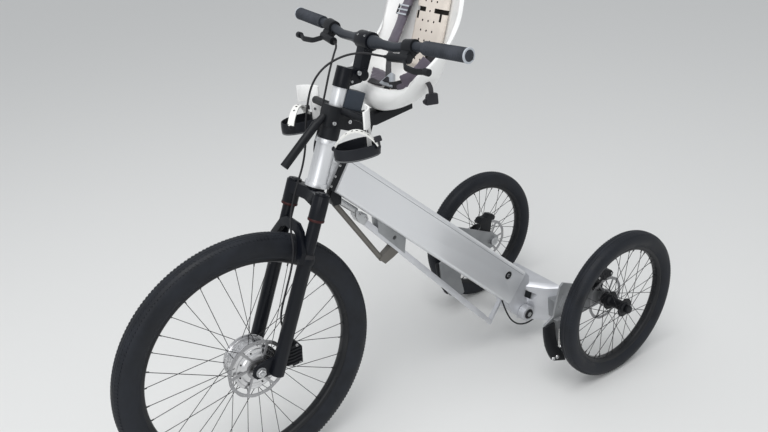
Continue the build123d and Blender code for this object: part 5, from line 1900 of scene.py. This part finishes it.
# %% Webbing
# Each row is a line of drawing points, the direction of the width, and the width in mm.
WEBBING = (
    ([(398, -45, 1226), (412, -48, 1214), (424, -58, 1196), (430, -66, 1180)], (0, 1, 0), 22),
    ([(494, -78, 1048), (524, -62, 1006), (548, -34, 978), (564, -14, 966)], (0, 1, 0.2), 20),
    ([(486, 92, 1042), (494, 91, 1036), (502, 89, 1028), (512, 84, 1018)], (0.38, -0.54, 0.74), 22),
    ([(562, 50, 972), (574, 34, 966), (580, 14, 963)], (0.38, -0.54, 0.74), 20),
    ([(572, 0, 960), (581, 0, 950), (583, 0, 938), (577, 0, 928)], (0, 1, 0), 22),
    ([(594, -52, 968), (588, -34, 964), (580, -14, 962)], (0.7, -0.5, 0), 18),
)
straps = []
for path, across, width in WEBBING:
    strap = slab("strap", line_through(path, 12), across, width, 1.8, webbing_black)
    cloth_map(strap, LEFT, Vector((0.7, 0, 0.7)))
    straps.append(strap)
settled(joined("harness_webbing", straps), "steering", "pad_fabric")
print("webbing strips", len(straps))

# %% Buckle
def rounded_plate(name, corners, thick, round_by, material):
    """Plate with rounded corners and edges, from corners in metres."""
    normal = (corners[1] - corners[0]).cross(corners[2] - corners[0]).normalized()
    lifts = (normal * (-thick / 2 * MM), normal * (thick / 2 * MM))
    made = lofted(name, [[corner + lift for corner in corners] for lift in lifts], material)
    work = bmesh.new()
    work.from_mesh(made.data)
    upright = []
    for edge in work.edges:
        run = (edge.verts[0].co - edge.verts[1].co).normalized()
        if abs(run.dot(normal)) > 0.9:
            upright.append(edge)
    bevelled(work, upright, round_by, 5)
    bevelled(work, sharp_edges(work, 60), min(1.6, thick * 0.2), 3)
    work.to_mesh(made.data)
    work.free()
    shaded(made.data, 40)
    return made


BUCKLE = [at(582, -27, 958), at(577, 27, 958), at(556, 2, 990)]
BUTTON = [at(582, -10, 968), at(579, 12, 968), at(571, 1, 981)]
buckle = rounded_plate("buckle_body", BUCKLE, 13, 8, buckle_grey)
button = rounded_plate("buckle_button", BUTTON, 13, 4, buckle_black)
settled(joined("three_point_buckle", [buckle, button]), "steering", "buckle_plastic", "harness_buckle")
print("buckle done")

# %% Ladder slide
slide_middle = Vector(at(453, -78, 1113))
slide_along = (at(466, -80, 1088) - at(440, -76, 1140)).normalized()
slide_out = slide_along.cross(LEFT).normalized()
if slide_out.x < 0:
    slide_out = -slide_out
slide_middle += slide_out * (8 * MM)
SLIDE_HALF = 21


def on_slide(reach, side):
    """Point of the ladder slide, from a distance along the sleeve in mm and a side."""
    return slide_middle + slide_along * (reach * MM) + LEFT * (side * SLIDE_HALF * MM)


bars = []
for reach in (-11, 0, 11):
    ends = [on_slide(reach, side) for side in (-1, 1)]
    bars.append(tube("slide_bar", ends, 2.3 * MM, buckle_grey, 10))
for side in (-1, 1):
    ends = [on_slide(reach, side) for reach in (-13, 13)]
    bars.append(tube("slide_side", ends, 2.6 * MM, buckle_black, 10))
settled(joined("ladder_slide", bars), "steering", "buckle_plastic")
print("ladder slide done")

# %% Hanging clip
CLIP_SIDE = 141
CLIP = [at(x, CLIP_SIDE, z) for x, z in ((534, 962), (564, 964), (570, 938), (532, 934))]
PRONG = [at(x, CLIP_SIDE, z) for x, z in ((560, 958), (576, 950), (574, 942), (556, 946))]
CLIP_LOOP = [at(549, 121, 988), at(549, 130, 984), at(549, 137, 975), at(550, CLIP_SIDE, 958)]
clip = rounded_plate("clip_body", CLIP, 10, 4, buckle_black)
prong = rounded_plate("clip_prong", PRONG, 5, 2, buckle_black)
loop = slab("clip_strap", CLIP_LOOP, (1, 0, 0), 13, 2, webbing_black)
cloth_map(loop, Vector((1, 0, 0)), UP)
settled(joined("hanging_clip", [clip, prong, loop]), "steering", "buckle_plastic")
print("hanging clip done")

# %% [markdown]
# ## Foot cups, straps and leg guards
#
# A foot cup is a small black shoe without a top: a tub that widens a little upward,
# on a grey sole. It is a loft through the same outline at several heights, first up
# the outside and then down the inside. A white strap with a row of holes arches over
# it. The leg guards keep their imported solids.

# %% Foot cups
CUP_X = 760.0
CUP_Y = 128.0
CUP_OUTLINE = [(-59, -30), (-59, 30), (7, 36), (45, 22), (59, -4), (47, -24), (7, -36)]


def cup_ring(side, inset, height):
    """Rounded cup outline at a height, moved in by a distance in mm."""
    corners = np.array([(x, side * y) for x, y in CUP_OUTLINE], float)
    ring = []
    count = len(corners)
    for index in range(count):
        before = corners[index - 1]
        here = corners[index]
        after = corners[(index + 1) % count]
        for share in (0.0, 0.25, 0.5, 0.75, 1.0):
            first = here + (before - here) * 0.5 * (1 - share)
            second = here + (after - here) * 0.5 * share
            ring.append(first * (1 - share) + second * share)
    middle = np.mean(ring, axis=0)
    placed = []
    for x, y in ring:
        away = np.array([x, y]) - middle
        reach = np.linalg.norm(away)
        x, y = middle + away * (reach - inset) / reach
        placed.append(at(CUP_X + x, side * CUP_Y + y, height))
    return placed


# Each pair is a distance inward from the outline and a height, in mm.
CUP_WALL = (
    (3.5, 859.5), (1.5, 861), (0.2, 866), (0, 874), (0.4, 884), (1.0, 887.4), (2.0, 888), (3.4, 887.4),
    (4.2, 884), (4.6, 868), (7, 863.5), (12, 862.5),
)
CUP_SOLE = ((4, 858), (1.2, 858.4), (0.6, 859.6), (0.6, 861.6), (1.6, 862.4), (4, 862.4))
cups = []
for side in (1, -1):
    for name, steps, material in (("cup_wall", CUP_WALL, cup_black), ("cup_sole", CUP_SOLE, cup_grey)):
        cups.append(lofted(name, [cup_ring(side, *step) for step in steps], material, 35))
settled(joined("shoe_like_foot_cups", cups), "steering", "black_plastic", "foot_cups")
print("foot cups done")

# %% Straps and guards
STRAP_STEPS = 28
STRAP_RISE = 36.0
TOGGLE = ((-48, 34, 893), (-27, 34, 893), (-29, 31, 906), (-46, 31, 906))
cup_straps = []
strap_ends = []
for side in (1, -1):
    start = Vector((CUP_X + 42, side * (CUP_Y - 25), 884))
    finish_point = Vector((CUP_X - 38, side * (CUP_Y + 31), 884))
    flat = (finish_point - start).normalized()
    across = flat.cross(UP).normalized()
    crown = []
    for step in range(STRAP_STEPS + 1):
        share = step / STRAP_STEPS
        place = start.lerp(finish_point, share) + UP * (STRAP_RISE * math.sin(math.pi * share) ** 0.8)
        crown.append(at(*place))
    strap = slab("cup_strap", crown, across, 17, 3.0, strap_white)
    holes = []
    for share in (0.30, 0.42, 0.54, 0.66, 0.78):
        index = round(share * STRAP_STEPS)
        through = (crown[index + 1] - crown[index - 1]).cross(across).normalized() * (6 * MM)
        holes.append(tube("hole", [crown[index] - through, crown[index] + through], 3.0 * MM, hole_painted_shade, 14))
    punched = joined("holes", holes)
    # The walls of the strap's holes take the painted shade colour.
    strap.data.materials.append(hole_painted_shade)
    cut(strap, punched)
    cup_straps.append(strap)
    outer_way = Vector((-0.4, side, 0))
    inner_way = Vector((0.4, -side, 0))
    strap_ends.append(screws("strap_buttons", 6.0, 3.6, [
        (at(CUP_X - 38, side * (CUP_Y + 33), 880), outer_way),
        (at(CUP_X + 43, side * (CUP_Y - 27), 880), inner_way),
    ], buckle_black))
    toggle = [at(CUP_X + x, side * (CUP_Y + y), z) for x, y, z in TOGGLE]
    strap_ends.append(rounded_plate("toggle", toggle, 5, 2.5, buckle_black))
settled(joined("punched_cup_straps", cup_straps), "steering", "white_plastic", "foot_straps")
settled(joined("strap_buttons", strap_ends), "steering", "black_plastic")
softened("leg_guards", seat_white, 1.4)
dots = [(at(720.6, side * 118, 906), (0.93, -side * 0.35, 0)) for side in (1, -1)]
settled(screws("guard_dots", 3.6, 1.4, dots, cup_grey), "steering", "black_plastic")
print("straps and guards done")

# %% [markdown]
# ## Brake hoses
#
# The hoses follow the points of the drawing. Each is a NURBS curve, which stays smooth
# between its points, with a round section. The rear hose crosses the steering joint,
# so it is made a mesh and blended: its upper part turns with the handlebar, its lower
# part stays on the beam, and the part between bends.

# %% Hose routes
def from_head(*points):
    """Drawing points given from the middle of the head tube."""
    return [at(HEAD_X + x, y, HEAD_Z + z) for x, y, z in points]


FRONT_HOSE = from_head(
    (-132, 118, 252), (-127, 88, 251), (-104, 56, 258), (-70, 24, 252), (-30, 0, 230), (0, -12, 193),
    (15, -17, 143), (24, -18, 93), (30, -17, 46), (46, -12, 0), (74, -4, -44),
) + [column(*point) for point in (
    (56, 4, -127), (60, 26, -166), (49, 48, -210), (46, 52, -262), (47, 53, -318), (45, 51, -376),
    (26, 42, -418), (-14, 46, -460),
)]
REAR_HOSE = from_head(
    (-132, -118, 252), (-128, -94, 250), (-102, -72, 232), (-76, -56, 198), (-56, -46, 160),
    (-38, -40, 122), (-25, -38, 86), (-18, -38, 62), (-6, -40, 34), (-4, -42, 0), (-18, -42, -28),
    (-44, -37, -40), (-60, -34, -36),
)
TAIL_HOSE = [at(x, y, 231 + z) for x, y, z in (
    (198, 20, -43), (181, 21, -93), (152, 22, -143), (112, 24, -170), (66, 27, -171), (24, 30, -151),
)]
print("hose points", len(FRONT_HOSE), len(REAR_HOSE), len(TAIL_HOSE))

# %% Hoses
HOSE_RADIUS = 2.6


def hose(name, points):
    """Round rubber hose along a smooth curve through control points, as a mesh."""
    curve = bpy.data.curves.new(name, "CURVE")
    curve.dimensions = "3D"
    curve.bevel_depth = HOSE_RADIUS * MM
    curve.bevel_resolution = 3
    curve.use_fill_caps = True
    spline = curve.splines.new("NURBS")
    spline.points.add(len(points) - 1)
    for control, place in zip(spline.points, points):
        control.co = (*place, 1)
    spline.order_u = 3
    spline.use_endpoint_u = True
    spline.resolution_u = 10
    holder = in_scene(name, curve)
    mesh = finished_mesh(holder)
    bpy.data.objects.remove(holder)
    mesh.materials.clear()
    mesh.materials.append(hose_rubber)
    mesh.polygons.foreach_set("use_smooth", [True] * len(mesh.polygons))
    print(name, "faces", len(mesh.polygons))
    return in_scene(name, mesh)


settled(hose("front_brake_hose", FRONT_HOSE), "steering", "rubber", "front_hose")
rear = hose("rear_brake_hose", REAR_HOSE)
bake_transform(rear, "frame", "steering", start=tuple(at(776, -41, 838)), end=tuple(at(738, -41, 948)))
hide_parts("rear_hose_upper", "rear_hose_lower")
settled(hose("tail_brake_hose", TAIL_HOSE), "frame", "rubber")
print("hoses done")

# %% Hose ends
# Each pair is a distance along the hose and a radius, in mm.
FERRULE = ((-4, 3.9), (12, 3.9), (16, 3.0))
ends = []
for place, following in (
    (FRONT_HOSE[0], FRONT_HOSE[1]),
    (FRONT_HOSE[-1], FRONT_HOSE[-2]),
    (REAR_HOSE[0], REAR_HOSE[1]),
):
    run = (following - place).normalized()
    route = [place + run * (offset * MM) for offset, radius in FERRULE]
    ends.append(tube("ferrule", route, [radius * MM for offset, radius in FERRULE], screw_black, 16))
settled(joined("hose_ferrules", ends), "steering", "steel")
print("hose ends done")
